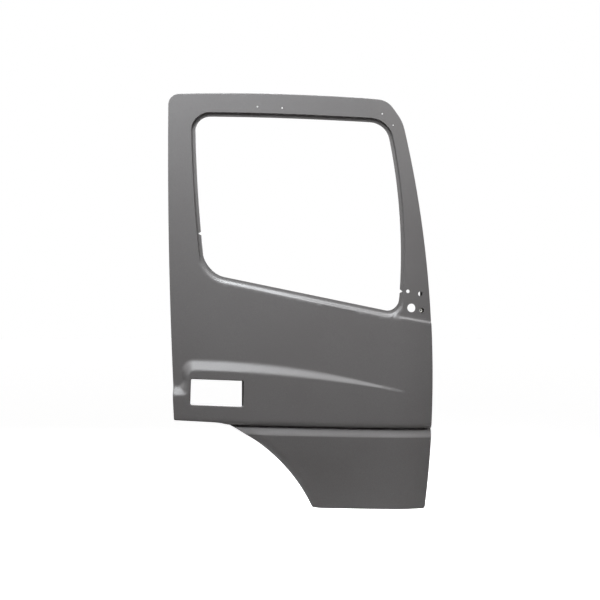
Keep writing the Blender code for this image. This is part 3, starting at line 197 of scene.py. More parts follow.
# Straight slope from 0 to 1 whose two ends are rounded over a share of its run.
def ramp(value, low, high, roundStart, roundEnd):
    w = np.clip((value - low) / (high - low), 0, 1)
    run = np.where(w < roundStart, w * w / (2 * roundStart), w - roundStart / 2)
    full = 1 - roundStart / 2 - roundEnd / 2
    return np.where(w > 1 - roundEnd, full - (1 - w) ** 2 / (2 * roundEnd), run) / full


# Clockwise from the foot of the rear edge, with no corner sharper than asked.
def doorOutline(sharpest=0.0):
    corners, rear, top = door["corners"], door["rearTopX"], door["height"]
    rows = (
        (rear + door["rearLean"], door["rearBottomZ"], corners["sharp"], door["rearBow"]),
        (rear, top, corners["topRear"], door["headerBow"]),
        (rear + door["headerLength"], top - door["headerFall"], corners["topFront"], 0),
        (door["shoulderX"], top - door["shoulderDrop"], corners["shoulder"], door["frontBow"]),
        (door["frontBottomX"], door["frontBottomZ"], corners["frontBottom"], 0),
        (door["archFootX"], door["archFootZ"], corners["sharp"], -door["archRadius"]),
        (door["archTopX"], door["rearBottomZ"] - door["archTopFall"], door["archFillet"], 0))
    return [(complex(x, z), max(radius, sharpest), bow) for x, z, radius, bow in rows]


# Clockwise from the top rear corner.
def windowOutline():
    top = door["height"] - window["headerWidth"]
    corners = (complex(door["rearTopX"] + window["rearPillar"], top),
               complex(door["shoulderX"] - window["frontPillarTop"], top - window["topFall"]),
               complex(door["frontBottomX"] - window["frontPillarWaist"], window["sillFrontZ"]),
               complex(*window["sillRear"]))
    return list(zip(corners, window["corners"], window["bows"]))


doorEdge = doorOutline()
innerEdge = doorOutline(sheet["flangeCorner"])
windowEdge = windowOutline()
innerLoop = trace(innerEdge)
openingLoop = trace(windowEdge)
sillStart, sillEnd = windowEdge[3][0], windowEdge[2][0]
sillAlong = (sillEnd - sillStart) / abs(sillEnd - sillStart)
frontSide = side(doorEdge[3][0], doorEdge[4][0], doorEdge[3][2])[1]
rearSide = side(doorEdge[0][0], doorEdge[1][0], doorEdge[0][2])[1]
archSide = side(doorEdge[5][0], doorEdge[6][0], doorEdge[5][2])[1]


# Loop round the opening at the flange's foot, plus a share of the rebate wall.
def windowLoop(wall=0.0):
    rows = [(window["flange"], window["rebateRun"])] * 4
    rows[2] = (window["sillFlange"], window["sillRun"])
    return trace(windowEdge, [-(flat + wall * run) for flat, run in rows], spacing=0.005, turn=4)


flangeLoop = windowLoop()
panelLoop = windowLoop(1.0)
print("outlines traced")


# Height over the sill's line. From here on p is an array of points and depths are along Y.
def aboveSill(p):
    return ((p - sillStart) * np.conj(sillAlong)).imag


def centreOf(a, b, bow):
    heading = (b - a) / abs(b - a)
    bend = math.asin(abs(b - a) / (2 * bow))
    return (a + b) / 2 - 1j * heading * bow * math.cos(bend)


frontCentre = centreOf(doorEdge[3][0], doorEdge[4][0], door["frontBow"])
archCentre = centreOf(doorEdge[5][0], doorEdge[6][0], -door["archRadius"])


# The gentle curvature that both sheets follow.
def barrel(p):
    form = pressing
    across = (p.real - form["barrelX"]) ** 2 / (2 * form["barrelRadiusX"])
    return (p.imag - form["barrelZ"]) ** 2 / (2 * form["barrelRadiusZ"]) + across


# The skin without its relief, rolled in along the front edge.
def body(p):
    inset = door["frontBow"] - np.abs(p - frontCentre)
    roll = np.clip(pressing["rollWidth"] - inset, 0, None)
    return barrel(p) + roll * roll / (2 * pressing["rollRadius"])


# Height over the belt ledge, which climbs a little from the sill's line towards the front.
def aboveBelt(p):
    rise = window["ledgeRise"] * np.clip(p.real - window["ledgeFrom"], 0, None)
    return aboveSill(p) + window["sillFlange"] + window["sillRun"] - rise


# How far the window frame stands back from the panel below the belt.
def setback(p):
    return pressing["setback"] * smooth(p.real, pressing["setbackFrom"], pressing["setbackTo"])


# Height of a line along the swell's slope, from its upper edge at share 0 to its lower one at 1.
def swellLine(x, share):
    form = pressing
    reach = np.clip((x - form["swellRearX"]) / (form["swellFrontX"] - form["swellRearX"]), 0, 1)
    band = form["swellBand"] * (1 - reach ** form["swellTaper"])
    return form["swellTopZ"] - form["swellSag"] * np.clip(x - form["swellRearX"], 0, None) ** 2 - share * band


# Distance below the groove's line.
def grooveDrop(p):
    return pressing["grooveZ"] + pressing["grooveSlope"] * (p.real - pressing["grooveX"]) - p.imag


# Edge of the swell's slope: along its top, round its rear end and out past the door's rear edge.
# The loop is closed well outside the door.
def swellLoop(share, rearX, corner, lean, floor):
    beyondRear, beyondFront, beyondFoot = -0.05, 1.0, -0.2
    turnX, footX, ease = rearX + corner, rearX + lean, pressing["patchCorner"]
    run = [complex(x, swellLine(x, share)) for x in np.linspace(beyondFront, turnX, 60)]
    top = run[-1].imag
    for a in np.linspace(0.1, math.pi / 2, 14):
        run.append(complex(turnX - corner * math.sin(a), top - corner * (1 - math.cos(a))))
    for a in np.linspace(0, math.pi / 2, 8):
        run.append(complex(footX - ease * (1 - math.cos(a)), floor + ease * (1 - math.sin(a))))
    run += [complex(beyondRear, floor), complex(beyondRear, beyondFoot)]
    return run + [complex(beyondFront, beyondFoot)]


swellFoot = swellLoop(0, *pressing["swellFoot"], pressing["patchTop"])
swellShelf = swellLoop(1, *pressing["swellShelf"], pressing["patchBottom"])


def swell(p):
    form = pressing
    band = swellLine(p.real, 0) - swellLine(p.real, 1)
    shape = np.zeros(len(p))
    shape[p.imag < form["patchBottom"]] = 1
    margin = 0.002
    near = np.flatnonzero((p.imag >= form["patchBottom"]) & (p.imag < form["swellTopZ"] + margin))
    q = p[near]
    toFoot, toShelf = gapTo(q, swellFoot), gapTo(q, swellShelf)
    share = toFoot / np.maximum(toFoot + toShelf, 1e-6)
    share[~inside(q, swellFoot)] = 0
    share[inside(q, swellShelf)] = 1
    shape[near] = ramp(share, 0, 1, *form["swellRound"])
    fade = 1 - smooth(np.clip(grooveDrop(p), 0, None), 0, form["grooveZ"])
    return form["swell"] * band / form["swellBand"] * shape * fade


def groove(p):
    drops, shares = np.array(pressing["grooveProfile"]).T
    return np.interp(grooveDrop(p) * 1000, drops, shares) * pressing["grooveDepth"]


def skinDepth(p):
    depth = body(p) - swell(p) + groove(p)
    rounding = window["ledgeRound"]
    depth = depth + setback(p) * ramp(aboveBelt(p), 0, window["ledgeRun"], rounding, rounding)
    toArch = np.clip(np.abs(p - archCentre) - door["archRadius"], 0, None)
    fadeFrom, fadeTo = pressing["archRollFade"]
    roll = np.clip(pressing["archRollWidth"] - toArch, 0, None)
    roll = roll * smooth(p.real, door["archTopX"] + fadeFrom, door["archTopX"] + fadeTo)
    return depth + roll * roll / (2 * pressing["archRollRadius"])


# How much thicker a sloping sheet is along Y than across.
def slopeFactor(p):
    reach, steepest = 0.0015, 2.5
    here = skinDepth(p)
    steep = np.zeros(len(p))
    for step in (reach, -reach, 1j * reach, -1j * reach):
        steep = np.maximum(steep, np.abs(skinDepth(p + step) - here) / reach)
    return np.sqrt(1 + np.minimum(steep, steepest) ** 2)


def behindSkin(p, distance):
    return skinDepth(p) + distance * slopeFactor(p)


# The flange round the window, which lies deeper along the sill than along the header.
def flangeDepth(p):
    sill, header = window["sillDepth"], window["headerDepth"]
    return body(p) + setback(p) + sill + (header - sill) * smooth(aboveSill(p), *window["depthChange"])


# How far up a wall each point lies, from 0 at its foot to 1 at its top, with both bends rounded.
def wallShare(p, foot, top, beforeFoot, pastTop):
    touching = 1e-5
    toFoot, toTop = gapTo(p, foot), gapTo(p, top)
    share = toFoot / (toFoot + toTop)
    share[beforeFoot | (toFoot < touching)] = 0
    share[pastTop & (toTop > touching) & (toFoot > toTop)] = 1
    return (1 - sheet["wallRound"]) * share + sheet["wallRound"] * smooth(share, 0, 1)


# Outer face of the skin: the panel, the rebate's wall and the flange round the window.
def outerDepth(p):
    depth = skinDepth(p)
    reach = 0.03   # past the rebate on every side
    near = np.flatnonzero((aboveSill(p) > -2 * reach) & (gapTo(p, openingLoop) < reach))
    q = p[near]
    share = wallShare(q, flangeLoop, panelLoop, inside(q, flangeLoop), ~inside(q, panelLoop))
    depth[near] = flangeDepth(q) * (1 - share) + depth[near] * share
    return depth


# How a sheet is laid out in triangles. Grid points keep a share of the pitch, the clearance, off
# every line.
layout = {
    "sampleStep": 0.003, "clearance": 0.45, "rowPitch": 0.866, "mergeGap": 1e-7, "rimGap": 0.00015,
    "sharpAngle": 40,
}
bendShares = (0, 0.12, 0.25, 0.4, 0.55, 0.7, 0.85, 1)   # where lines run across a bend


# Triangulate a blank between its outline, its holes and its bend lines.
def layOut(outline, holes, lines, grid, fine=()):
    points, edges = [], []
    runs = [(loop, True) for loop in [outline] + list(holes)] + list(lines)
    for run, closed in runs:
        first = len(points)
        points.extend(run)
        edges.extend((first + k, first + k + 1) for k in range(len(run) - 1))
        if closed:
            edges.append((len(points) - 1, first))
    samples = []
    for a, b in edges:
        count = max(1, int(abs(points[b] - points[a]) / layout["sampleStep"]))
        samples.extend(points[a] + (points[b] - points[a]) * k / count for k in range(count))
    tree = KDTree(len(samples))
    for k, spot in enumerate(samples):
        tree.insert((spot.real, spot.imag, 0), k)
    tree.balance()
    edge = np.asarray(outline)
    areas = [(edge.real.min(), edge.real.max(), edge.imag.min(), edge.imag.max(), grid)] + list(fine)
    for number, (x0, x1, z0, z1, pitch) in enumerate(areas):
        rows = np.arange(z0, z1, pitch * layout["rowPitch"])
        rows = [np.arange(x0 + (k % 2) * pitch / 2, x1, pitch) + 1j * z for k, z in enumerate(rows)]
        spots = np.concatenate(rows)
        for left, right, low, high, _ in areas[number + 1:]:
            x, z = spots.real, spots.imag
            spots = spots[~((x > left) & (x < right) & (z > low) & (z < high))]
        for spot in spots[inside(spots, outline)]:
            if tree.find((spot.real, spot.imag, 0))[2] > layout["clearance"] * pitch:
                points.append(spot)
    flat = [Vector((p.real, p.imag)) for p in points]
    verts, _, faces, *_ = delaunay_2d_cdt(flat, edges, [], 0, layout["mergeGap"])
    spots = np.array([complex(v.x, v.y) for v in verts])
    middles = np.array([spots[list(face)].mean() for face in faces])
    keep = inside(middles, outline)
    for hole in holes:
        keep &= ~inside(middles, hole)
    return spots, [face for face, good in zip(faces, keep) if good]


# Fold the sheet on past one of its edges, through (loop, depth function) stations.
def rim(mesh, loop, stations):
    here = np.asarray(loop)
    step = np.roll(here, -1) - here
    border = [edge for edge in mesh.edges if edge.is_boundary]
    ends = [[complex(vert.co.x, vert.co.z) for vert in edge.verts] for edge in border]
    gaps = gapTo(np.array(ends).sum(1) / 2, loop)
    edges = [edge for edge, gap in zip(border, gaps) if gap < layout["rimGap"]]
    places = {}
    for vert in {v for edge in edges for v in edge.verts}:
        point = complex(vert.co.x, vert.co.z)
        w = np.clip(((point - here) * np.conj(step)).real / np.abs(step) ** 2, 0, 1)
        k = int(np.argmin(np.abs(point - here - w * step)))
        places[vert] = (k, float(w[k]))
    for target, depth in stations:
        numbers, shares = np.array(list(places.values())).T
        target = np.asarray(target)
        ahead = np.roll(target, -1)
        numbers = numbers.astype(int)
        spots = target[numbers] * (1 - shares) + ahead[numbers] * shares
        twin = {vert: mesh.verts.new((spot.real, y, spot.imag))
                for vert, spot, y in zip(places, spots, depth(spots))}
        following = []
        for edge in edges:
            a, b = edge.verts
            loops = edge.link_loops
            if loops and loops[0].vert is a:
                a, b = b, a
            mesh.faces.new((a, b, twin[b], twin[a]))
            following.append(mesh.edges.get((twin[a], twin[b])))
        edges = following
        places = {twin[vert]: place for vert, place in places.items()}


# Turn a bmesh into an object of the scene.
def placed(name, mesh):
    data = bpy.data.meshes.new(name)
    mesh.to_mesh(data)
    mesh.free()
    piece = bpy.data.objects.new(name, data)
    bpy.context.scene.collection.objects.link(piece)
    return piece


# Give a surface its metal thickness, its drilled holes, its shading and its finish.
def finished(piece, thickness, finish, drills=None):
    solid = piece.modifiers.new("thickness", "SOLIDIFY")
    solid.thickness = thickness
    solid.offset = -1
    solid.use_even_offset = True
    solid.use_quality_normals = True
    if drills:
        cut = piece.modifiers.new("holes", "BOOLEAN")
        cut.operation = "DIFFERENCE"
        cut.solver = "EXACT"
        cut.object = drills
    surface = piece.data
    made = piece.evaluated_get(bpy.context.evaluated_depsgraph_get())
    whole = bpy.data.meshes.new_from_object(made)
    piece.modifiers.clear()
    piece.data = whole
    bpy.data.meshes.remove(surface)
    whole.name = piece.name
    whole.transform(Matrix.Translation(-hingePoint))
    for face in whole.polygons:
        face.use_smooth = True
    whole.set_sharp_from_angle(angle=math.radians(layout["sharpAngle"]))
    whole.materials.clear()
    whole.materials.append(finish)


# Press a flat blank to its depth and fold its rims.
def pressed(name, outline, depth, holes, lines, grid, fine=(), rims=()):
    spots, faces = layOut(outline, holes, lines, grid, fine)
    used = sorted({i for face in faces for i in face})
    depths = depth(spots[used])
    mesh = bmesh.new()
    corner = {i: mesh.verts.new((spots[i].real, y, spots[i].imag)) for i, y in zip(used, depths)}
    for face in faces:
        mesh.faces.new([corner[i] for i in face])
    for loop, stations in rims:
        rim(mesh, loop, stations)
    return placed(name, mesh)


def nodeMaterial(name):
    finish = bpy.data.materials.new(name)
    finish.use_nodes = True
    tree = finish.node_tree
    return finish, tree, tree.nodes["Principled BSDF"]


def link(tree, output, socket):
    tree.links.new(output, socket)


def noiseNode(tree, scale, detail, stretch=(1, 1, 1)):
    place = tree.nodes.new("ShaderNodeTexCoord")
    mapping = tree.nodes.new("ShaderNodeMapping")
    mapping.inputs["Scale"].default_value = stretch
    noise = tree.nodes.new("ShaderNodeTexNoise")
    noise.inputs["Scale"].default_value = scale
    noise.inputs["Detail"].default_value = detail
    link(tree, place.outputs["Object"], mapping.inputs["Vector"])
    link(tree, mapping.outputs["Vector"], noise.inputs["Vector"])
    return noise.outputs["Fac"]


def rampNode(tree, source, stops):
    shades = tree.nodes.new("ShaderNodeValToRGB")
    elements = shades.color_ramp.elements
    while len(elements) < len(stops):
        elements.new(0.5)
    for element, (position, value) in zip(elements, stops):
        element.position = position
        element.color = value + (1,) if isinstance(value, tuple) else (value, value, value, 1)
    link(tree, source, shades.inputs["Fac"])
    return shades.outputs["Color"]


def bumpNode(tree, shader, height, strength, distance):
    bump = tree.nodes.new("ShaderNodeBump")
    bump.inputs["Strength"].default_value = strength
    bump.inputs["Distance"].default_value = distance
    link(tree, height, bump.inputs["Height"])
    link(tree, bump.outputs["Normal"], shader.inputs["Normal"])


primer = {
    "colour": (0.147, 0.1385, 0.1365),   # grey dip primer
    "worn": (0.153, 0.1445, 0.1425), "dusty": (0.141, 0.132, 0.130), "cloudScale": 3.2,
    "speckScale": 420, "specks": ((0.42, 0.93), (0.60, 1.04)),
    "roughness": (0.40, 0.46), "wipeScale": 9, "wipeStretch": (1, 1, 2.5), "ior": 1.45,
    "orangePeel": 0.10, "peelScale": 650, "peelHeight": 0.00025,
}


# Satin dip primer: cloudy tone, fine specks, wiped sheen and orange peel.
def primerFinish(name, tone=1.0):
    finish, tree, shader = nodeMaterial(name)
    base, worn, dusty = [tuple(c * tone for c in primer[key]) for key in ("colour", "worn", "dusty")]
    mix = tree.nodes.new("ShaderNodeMix")
    mix.data_type = "RGBA"
    mix.blend_type = "MULTIPLY"
    mix.inputs["Factor"].default_value = 1.0
    clouds = noiseNode(tree, primer["cloudScale"], 4)
    link(tree, rampNode(tree, clouds, ((0.35, dusty), (0.52, base), (0.72, worn))), mix.inputs["A"])
    specks = noiseNode(tree, primer["speckScale"], 2)
    link(tree, rampNode(tree, specks, primer["specks"]), mix.inputs["B"])
    link(tree, mix.outputs["Result"], shader.inputs["Base Color"])
    low, high = primer["roughness"]
    wiped = noiseNode(tree, primer["wipeScale"], 5, primer["wipeStretch"])
    link(tree, rampNode(tree, wiped, ((0.3, low), (0.7, high))), shader.inputs["Roughness"])
    shader.inputs["IOR"].default_value = primer["ior"]
    peel = noiseNode(tree, primer["peelScale"], 2)
    bumpNode(tree, shader, peel, primer["orangePeel"], primer["peelHeight"])
    return finish


plating = {
    "dark": (0.26, 0.26, 0.24), "bloom": (0.34, 0.33, 0.29), "bloomScale": 60,
    "roughness": (0.22, 0.36), "sheenScale": 200,
}


# Zinc plate on a machined plate: cool sheen with a yellowish bloom.
def platedFinish(name):
    finish, tree, shader = nodeMaterial(name)
    bloom = noiseNode(tree, plating["bloomScale"], 4)
    stops = ((0.3, plating["dark"]), (0.7, plating["bloom"]))
    link(tree, rampNode(tree, bloom, stops), shader.inputs["Base Color"])
    low, high = plating["roughness"]
    sheen = noiseNode(tree, plating["sheenScale"], 3)
    link(tree, rampNode(tree, sheen, ((0.3, low), (0.7, high))), shader.inputs["Roughness"])
    shader.inputs["Metallic"].default_value = 1.0
    return finish


foam = {"cellScale": 900, "dark": 0.012, "light": 0.05, "roughness": 0.95, "cellDepth": 0.0006, "bump": 0.8}


# Open-celled black foam.
def foamFinish(name):
    finish, tree, shader = nodeMaterial(name)
    cells = noiseNode(tree, foam["cellScale"], 2)
    stops = ((0.35, foam["dark"]), (0.7, foam["light"]))
    link(tree, rampNode(tree, cells, stops), shader.inputs["Base Color"])
    shader.inputs["Roughness"].default_value = foam["roughness"]
    bumpNode(tree, shader, cells, foam["bump"], foam["cellDepth"])
    return finish


outerPaint = primerFinish("outerPaint")
innerPaint = primerFinish("innerPaint", 0.96)
bracketPaint = primerFinish("bracketPaint", 0.90)
zincPlate = platedFinish("zincPlate")
blackFoam = foamFinish("blackFoam")
print("finishes made")


# The skin's hem, holes and bend lines. Holes are (x, z, radius), and a notch is the window side it
# is in and the share of that side.
skinForm = {
    "grid": 0.009, "fineGrids": ((0.30, 0.86, 0.34, 0.545, 0.006), (0.0, 0.30, 0.36, 0.56, 0.004)),
    "hemInset": 0.0013,   # then inset and rise of each line round the hem, from the skin and from the lip
    "hemStart": ((0.0007, 0.0002), (0.0002, 0.0007), (0.0, 0.0014), (0.0, 0.0021)),
    "hemEnd": ((0.0002, 0.0008), (0.0007, 0.0002), (0.0013, 0.0)),
    "handle": {"x": 0.087, "z": 0.4225, "width": 0.1915, "height": 0.093, "tilt": -0.035, "corner": 0.006},
    "handleInset": -0.0012,   # then inset and depth of each line of the cut's lip
    "handleLip": ((-0.0006, 0.0002), (-0.0001, 0.0007), (0.0002, 0.0016), (0.0004, 0.005), (0.0004, 0.009)),
    "rebateShares": (0, 0.15, 0.32, 0.5, 0.68, 0.85, 1), "hemLine": 0.005,
    "archLines": (0.010, 0.017, 0.024, 0.030), "archLineEnds": (0.02, 0.80),
    "swellShares": (-0.15, 0.12, 0.3, 0.5, 0.7, 0.88, 1.15), "swellLineTrims": (0.004, 0.10),
    "grooveLineEnds": (0.12, 0.985), "beltLineEnds": (0.845, 0.975),
    "mirrorHoles": ((0.8719, 0.7836, 0.0065), (0.9186, 0.7746, 0.0085),
                    (0.8846, 0.7233, 0.0155), (0.9231, 0.7140, 0.0090)),
    "headerHoles": ((0.3239, 1.4615, 0.003), (0.4148, 1.4572, 0.003),
                    (0.7839, 1.4387, 0.003), (0.8246, 1.3972, 0.003)),
    "notches": ((3, 0.25), (1, 0.887)), "notchDepth": 0.0105, "notchHalfWidth": 0.0066,
}


def handleOutline():
    handle = skinForm["handle"]
    along = np.exp(1j * handle["tilt"])
    rear, width, half = complex(handle["x"], handle["z"]), handle["width"], 0.5j * handle["height"]
    spots = (-half, half, width + half, width - half)
    return [(rear + spot * along, handle["corner"], 0) for spot in spots]


# Small V cuts in the flange round the window, where the channel rubber's ends are set.
def notchLoops():
    loops = []
    past = 0.3   # share of the depth by which each cut starts inside the opening
    depth, halfWidth = skinForm["notchDepth"], skinForm["notchHalfWidth"]
    for number, share in skinForm["notches"]:
        corner, _, bow = windowEdge[number]
        point, along = side(corner, windowEdge[(number + 1) % 4][0], bow)[1](share)
        base = point - 1j * past * along * depth
        spread = (1 + past) * halfWidth * along
        loops.append([base - spread, point + 1j * along * depth, base + spread])
    return loops


# A bend line is a run of points and a mark that says whether it is closed.
def archLine(inset):
    first, last = skinForm["archLineEnds"]
    steps = 60
    run = []
    for k in range(steps + 1):
        p, t = archSide(first + (last - first) * k / steps)
        run.append(p - 1j * t * inset)
    return (run, False)


def acrossLine(height, xFrom, xTo, step):
    xs = np.linspace(xFrom, xTo, max(2, round((xTo - xFrom) / step)))
    return ([complex(x, height(x)) for x in xs], False)


def grooveLines():
    lines = []
    for drop, _ in pressing["grooveProfile"]:
        def height(x, d=drop / 1000):
            return pressing["grooveZ"] + pressing["grooveSlope"] * (x - pressing["grooveX"]) - d
        lines.append(acrossLine(height, *skinForm["grooveLineEnds"], 0.02))
    return lines


def beltLines():
    lines = []
    xs = np.linspace(*skinForm["beltLineEnds"], 10)   # from the window's front corner to past the front edge
    climb = window["ledgeRise"] * (xs - window["ledgeFrom"])
    for share in bendShares:
        rise = share * window["ledgeRun"] - aboveBelt(sillStart)
        shift = (xs - sillStart.real) * sillAlong.imag + climb + rise
        lines.append((list(xs + 1j * (sillStart.imag + shift / sillAlong.real)), False))
    return lines


def swellLines():
    lines = [(loop[10:-3], False) for loop in (swellFoot, swellShelf)]   # without their ends off the door
    rear, corner, _ = pressing["swellFoot"]
    rearTrim, frontTrim = skinForm["swellLineTrims"]
    first, last = rear + corner + rearTrim, pressing["swellFrontX"] - frontTrim
    for share in skinForm["swellShares"]:
        lines.append(acrossLine(lambda x, s=share: swellLine(x, s), first, last, 0.014))
    return lines


# Leave out the parts of bend lines that fall in openings.
def clipped(lines, loops):
    kept = []
    for points, closed in lines:
        bad = np.zeros(len(points), bool)
        for loop in loops:
            bad |= inside(np.array(points), loop)
        run = []
        for point, out in zip(points, bad):
            if out:
                if len(run) > 1:
                    kept.append((run, False))
                run = []
            else:
                run.append(point)
        if len(run) > 1:
            kept.append((run, closed and not bad.any()))
    return kept


def makeOuterSkin():
    form = skinForm
    start = form["hemInset"]
    hem = 2 * sheet["skin"] + 2 * sheet["hemGap"] + sheet["inner"]
    edge = trace(doorEdge, start)
    folds = list(form["hemStart"]) + [(inset, hem - rise) for inset, rise in form["hemEnd"]]
    hemStations = [(trace(doorEdge, inset, like=start), lambda p, y=y: skinDepth(p) + y * slopeFactor(p))
                   for inset, y in folds]
    hemStations.append((trace(doorEdge, sheet["hemLip"], like=start), lambda p: behindSkin(p, hem)))

    cut = handleOutline()
    cutStart, spacing, turn = form["handleInset"], 0.008, 15
    cutEdge = trace(cut, cutStart, spacing, turn)
    cutStations = [(trace(cut, inset, spacing, turn, like=cutStart), lambda p, y=y: skinDepth(p) + y)
                   for inset, y in form["handleLip"]]

    holes = [openingLoop, cutEdge]
    holes += [circle(*hole, 32) for hole in form["mirrorHoles"]]
    holes += [circle(*hole, 16) for hole in form["headerHoles"]] + notchLoops()
    lines = [(windowLoop(share), True) for share in form["rebateShares"]]
    lines += [(trace(doorEdge, form["hemLine"]), True)]
    lines += [archLine(inset) for inset in form["archLines"]]
    lines += clipped(beltLines() + grooveLines() + swellLines(), [cutEdge])
    skin = pressed("outerSkin", edge, outerDepth, holes, lines, form["grid"], form["fineGrids"],
                   [(edge, hemStations), (cutEdge, cutStations)])
    finished(skin, sheet["skin"], outerPaint)
    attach(skin, "root")
    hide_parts("outer_skin")
    return skin


outerSkin = makeOuterSkin()
print("outer skin:", len(outerSkin.data.polygons), "faces")


# The inner panel's openings (four corners and their radius), recesses, beads and holes.
innerForm = {
    "grid": 0.010, "edgeInset": 0.0020,
    "waistFoot": (-0.200, -0.080), "waistStep": 0.070,   # from the sill line, rear and front
    "waistTurn": (0.70, 0.86), "slotFade": 0.060,
    "recessWidth": 0.012, "recessRun": 0.005, "recessDepth": 0.004,
    "apertures": (((0.29, 0.36), (0.29, 0.60), (0.70, 0.515), (0.70, 0.33), 0.05),
                  ((0.060, 0.343), (0.060, 0.478), (0.262, 0.470), (0.262, 0.343), 0.012),
                  ((0.864, 0.703), (0.864, 0.800), (0.922, 0.800), (0.922, 0.703), 0.012)),
    "speaker": (0.790, 0.150, 0.075),
    "beads": ((0.33, 0.285, 0.66, 0.262), (0.775, 0.40, 0.775, 0.52), (0.12, 0.645, 0.24, 0.620)),
    "beadRadius": 0.012,
    "clipHoles": ((0.080, 0.560), (0.235, 0.545), (0.880, 0.520), (0.885, 0.300),
                  (0.870, 0.055), (0.600, 0.040), (0.560, 0.230), (0.390, 0.315)),
    "clipRadius": 0.004, "headerRadius": 0.007, "headerRise": 0.012,
    "wallHoles": (   # side, height, depth, then (along, across, radius) of each hole
        (frontSide, 0.535, 0.087, ((-0.031, 0, 0.008), (0.031, 0, 0.008))),
        (frontSide, 0.125, 0.087, ((-0.031, 0, 0.008), (0.031, 0, 0.008))),
        (frontSide, 0.300, 0.087, ((0, 0, 0.011),)),
        (frontSide, 0.400, 0.087, ((0, 0, 0.013),)),
        (rearSide, 0.555, 0.066, ((0, 0, 0.0165), (-0.038, 0.012, 0.0045), (0.038, 0.012, 0.0045),
                                  (0, -0.024, 0.0045)))),
    "drillLength": 0.02,
}
apertures = [[(complex(*spot), rows[4], 0) for spot in rows[:4]] for rows in innerForm["apertures"]]
apertureLoops = [trace(rows) for rows in apertures] + [circle(*innerForm["speaker"], 48)]
hemFoot = trace(innerEdge, sheet["hemFlange"])
wallTop = trace(innerEdge, sheet["hemFlange"] + sheet["wallRun"])
pinchFoot = trace(windowEdge, -window["flange"])
pinchTop = trace(windowEdge, -window["flange"] - window["rebateRun"])


def beadGap(p, bead):
    start, end = complex(*bead[:2]), complex(*bead[2:])
    w = np.clip(((p - start) * np.conj(end - start)).real / abs(end - start) ** 2, 0, 1)
    return np.abs(p - start - w * (end - start))


def beadLoop(bead, radius):
    start, end = complex(*bead[:2]), complex(*bead[2:])
    along = (end - start) / abs(end - start)
    turns = [k * math.pi / 12 for k in range(13)]
    run = [start + radius * along * np.exp(1j * (-math.pi / 2 - a)) for a in turns]
    return run + [end + radius * along * np.exp(1j * (math.pi / 2 - a)) for a in turns]


# Flat trim face below, curved window frame above, with recesses round the openings and beads.
def faceDepth(p):
    form = innerForm
    rear, front = form["waistFoot"]
    low = rear + (front - rear) * smooth(p.real, *form["waistTurn"])
    blend = smooth(aboveSill(p), low, low + form["waistStep"])
    depth = sheet["trimFace"] * (1 - blend) + (barrel(p) + sheet["frameDepth"]) * blend
    width, run, radius = form["recessWidth"], form["recessRun"], form["beadRadius"]
    for loop in apertureLoops:
        depth -= form["recessDepth"] * (1 - smooth(gapTo(p, loop), width, width + run))
    for bead in form["beads"]:
        depth -= form["recessDepth"] * (1 - smooth(beadGap(p, bead), radius - run, radius))
    return depth


def innerDepth(p):
    depth = faceDepth(p)
    near = np.flatnonzero(gapTo(p, openingLoop) < window["flange"] + window["rebateRun"] + 0.003)
    q = p[near]
    slot = sheet["glassSlot"] * (1 - smooth(aboveSill(q), 0, innerForm["slotFade"]))
    share = wallShare(q, pinchFoot, pinchTop, inside(q, pinchFoot), ~inside(q, pinchTop))
    pinch = flangeDepth(q) + sheet["skin"] + sheet["gap"] + slot
    depth[near] = pinch * (1 - share) + depth[near] * share
    near = np.flatnonzero(gapTo(p, innerLoop) < sheet["hemFlange"] + sheet["wallRun"] + 0.002)
    q = p[near]
    share = wallShare(q, hemFoot, wallTop, ~inside(q, hemFoot), inside(q, wallTop))
    hem = behindSkin(q, sheet["skin"] + sheet["hemGap"])
    depth[near] = hem * (1 - share) + depth[near] * share
    return depth


# Matrix on the panel's edge wall: X along it, Y across it and Z outwards.
def wallFrame(at, height, depth):
    low, high = 0.0, 1.0
    rising = at(1.0)[0].imag > at(0.0)[0].imag
    for _ in range(40):   # halves the share until it is as fine as it gets
        middle = (low + high) / 2
        if (at(middle)[0].imag < height) == rising:
            low = middle
        else:
            high = middle
    point, along = at(low)
    inward = -1j * along
    hem = behindSkin(np.array([point]), sheet["skin"] + sheet["hemGap"])[0]
    rise = sheet["trimFace"] - hem
    spot = point + inward * (sheet["hemFlange"] + sheet["wallRun"] * (depth - hem) / rise)
    third = Vector((-inward.real, sheet["wallRun"] / rise, -inward.imag)).normalized()
    first = Vector((along.real, 0, along.imag))
    first = (first - third * first.dot(third)).normalized()
    matrix = Matrix((first, third.cross(first), third)).transposed().to_4x4()
    matrix.translation = Vector((spot.real, depth, spot.imag))
    return matrix


# Cylinders that cut the holes in the panel's front and rear walls.
def makeDrills():
    mesh = bmesh.new()
    for at, height, depth, holes in innerForm["wallHoles"]:
        place = wallFrame(at, height, depth)
        for along, across, radius in holes:
            bmesh.ops.create_cone(mesh, cap_ends=True, segments=32, radius1=radius, radius2=radius,
                                  depth=innerForm["drillLength"],
                                  matrix=place @ Matrix.Translation((along, across, 0)))
    return placed("drills", mesh)


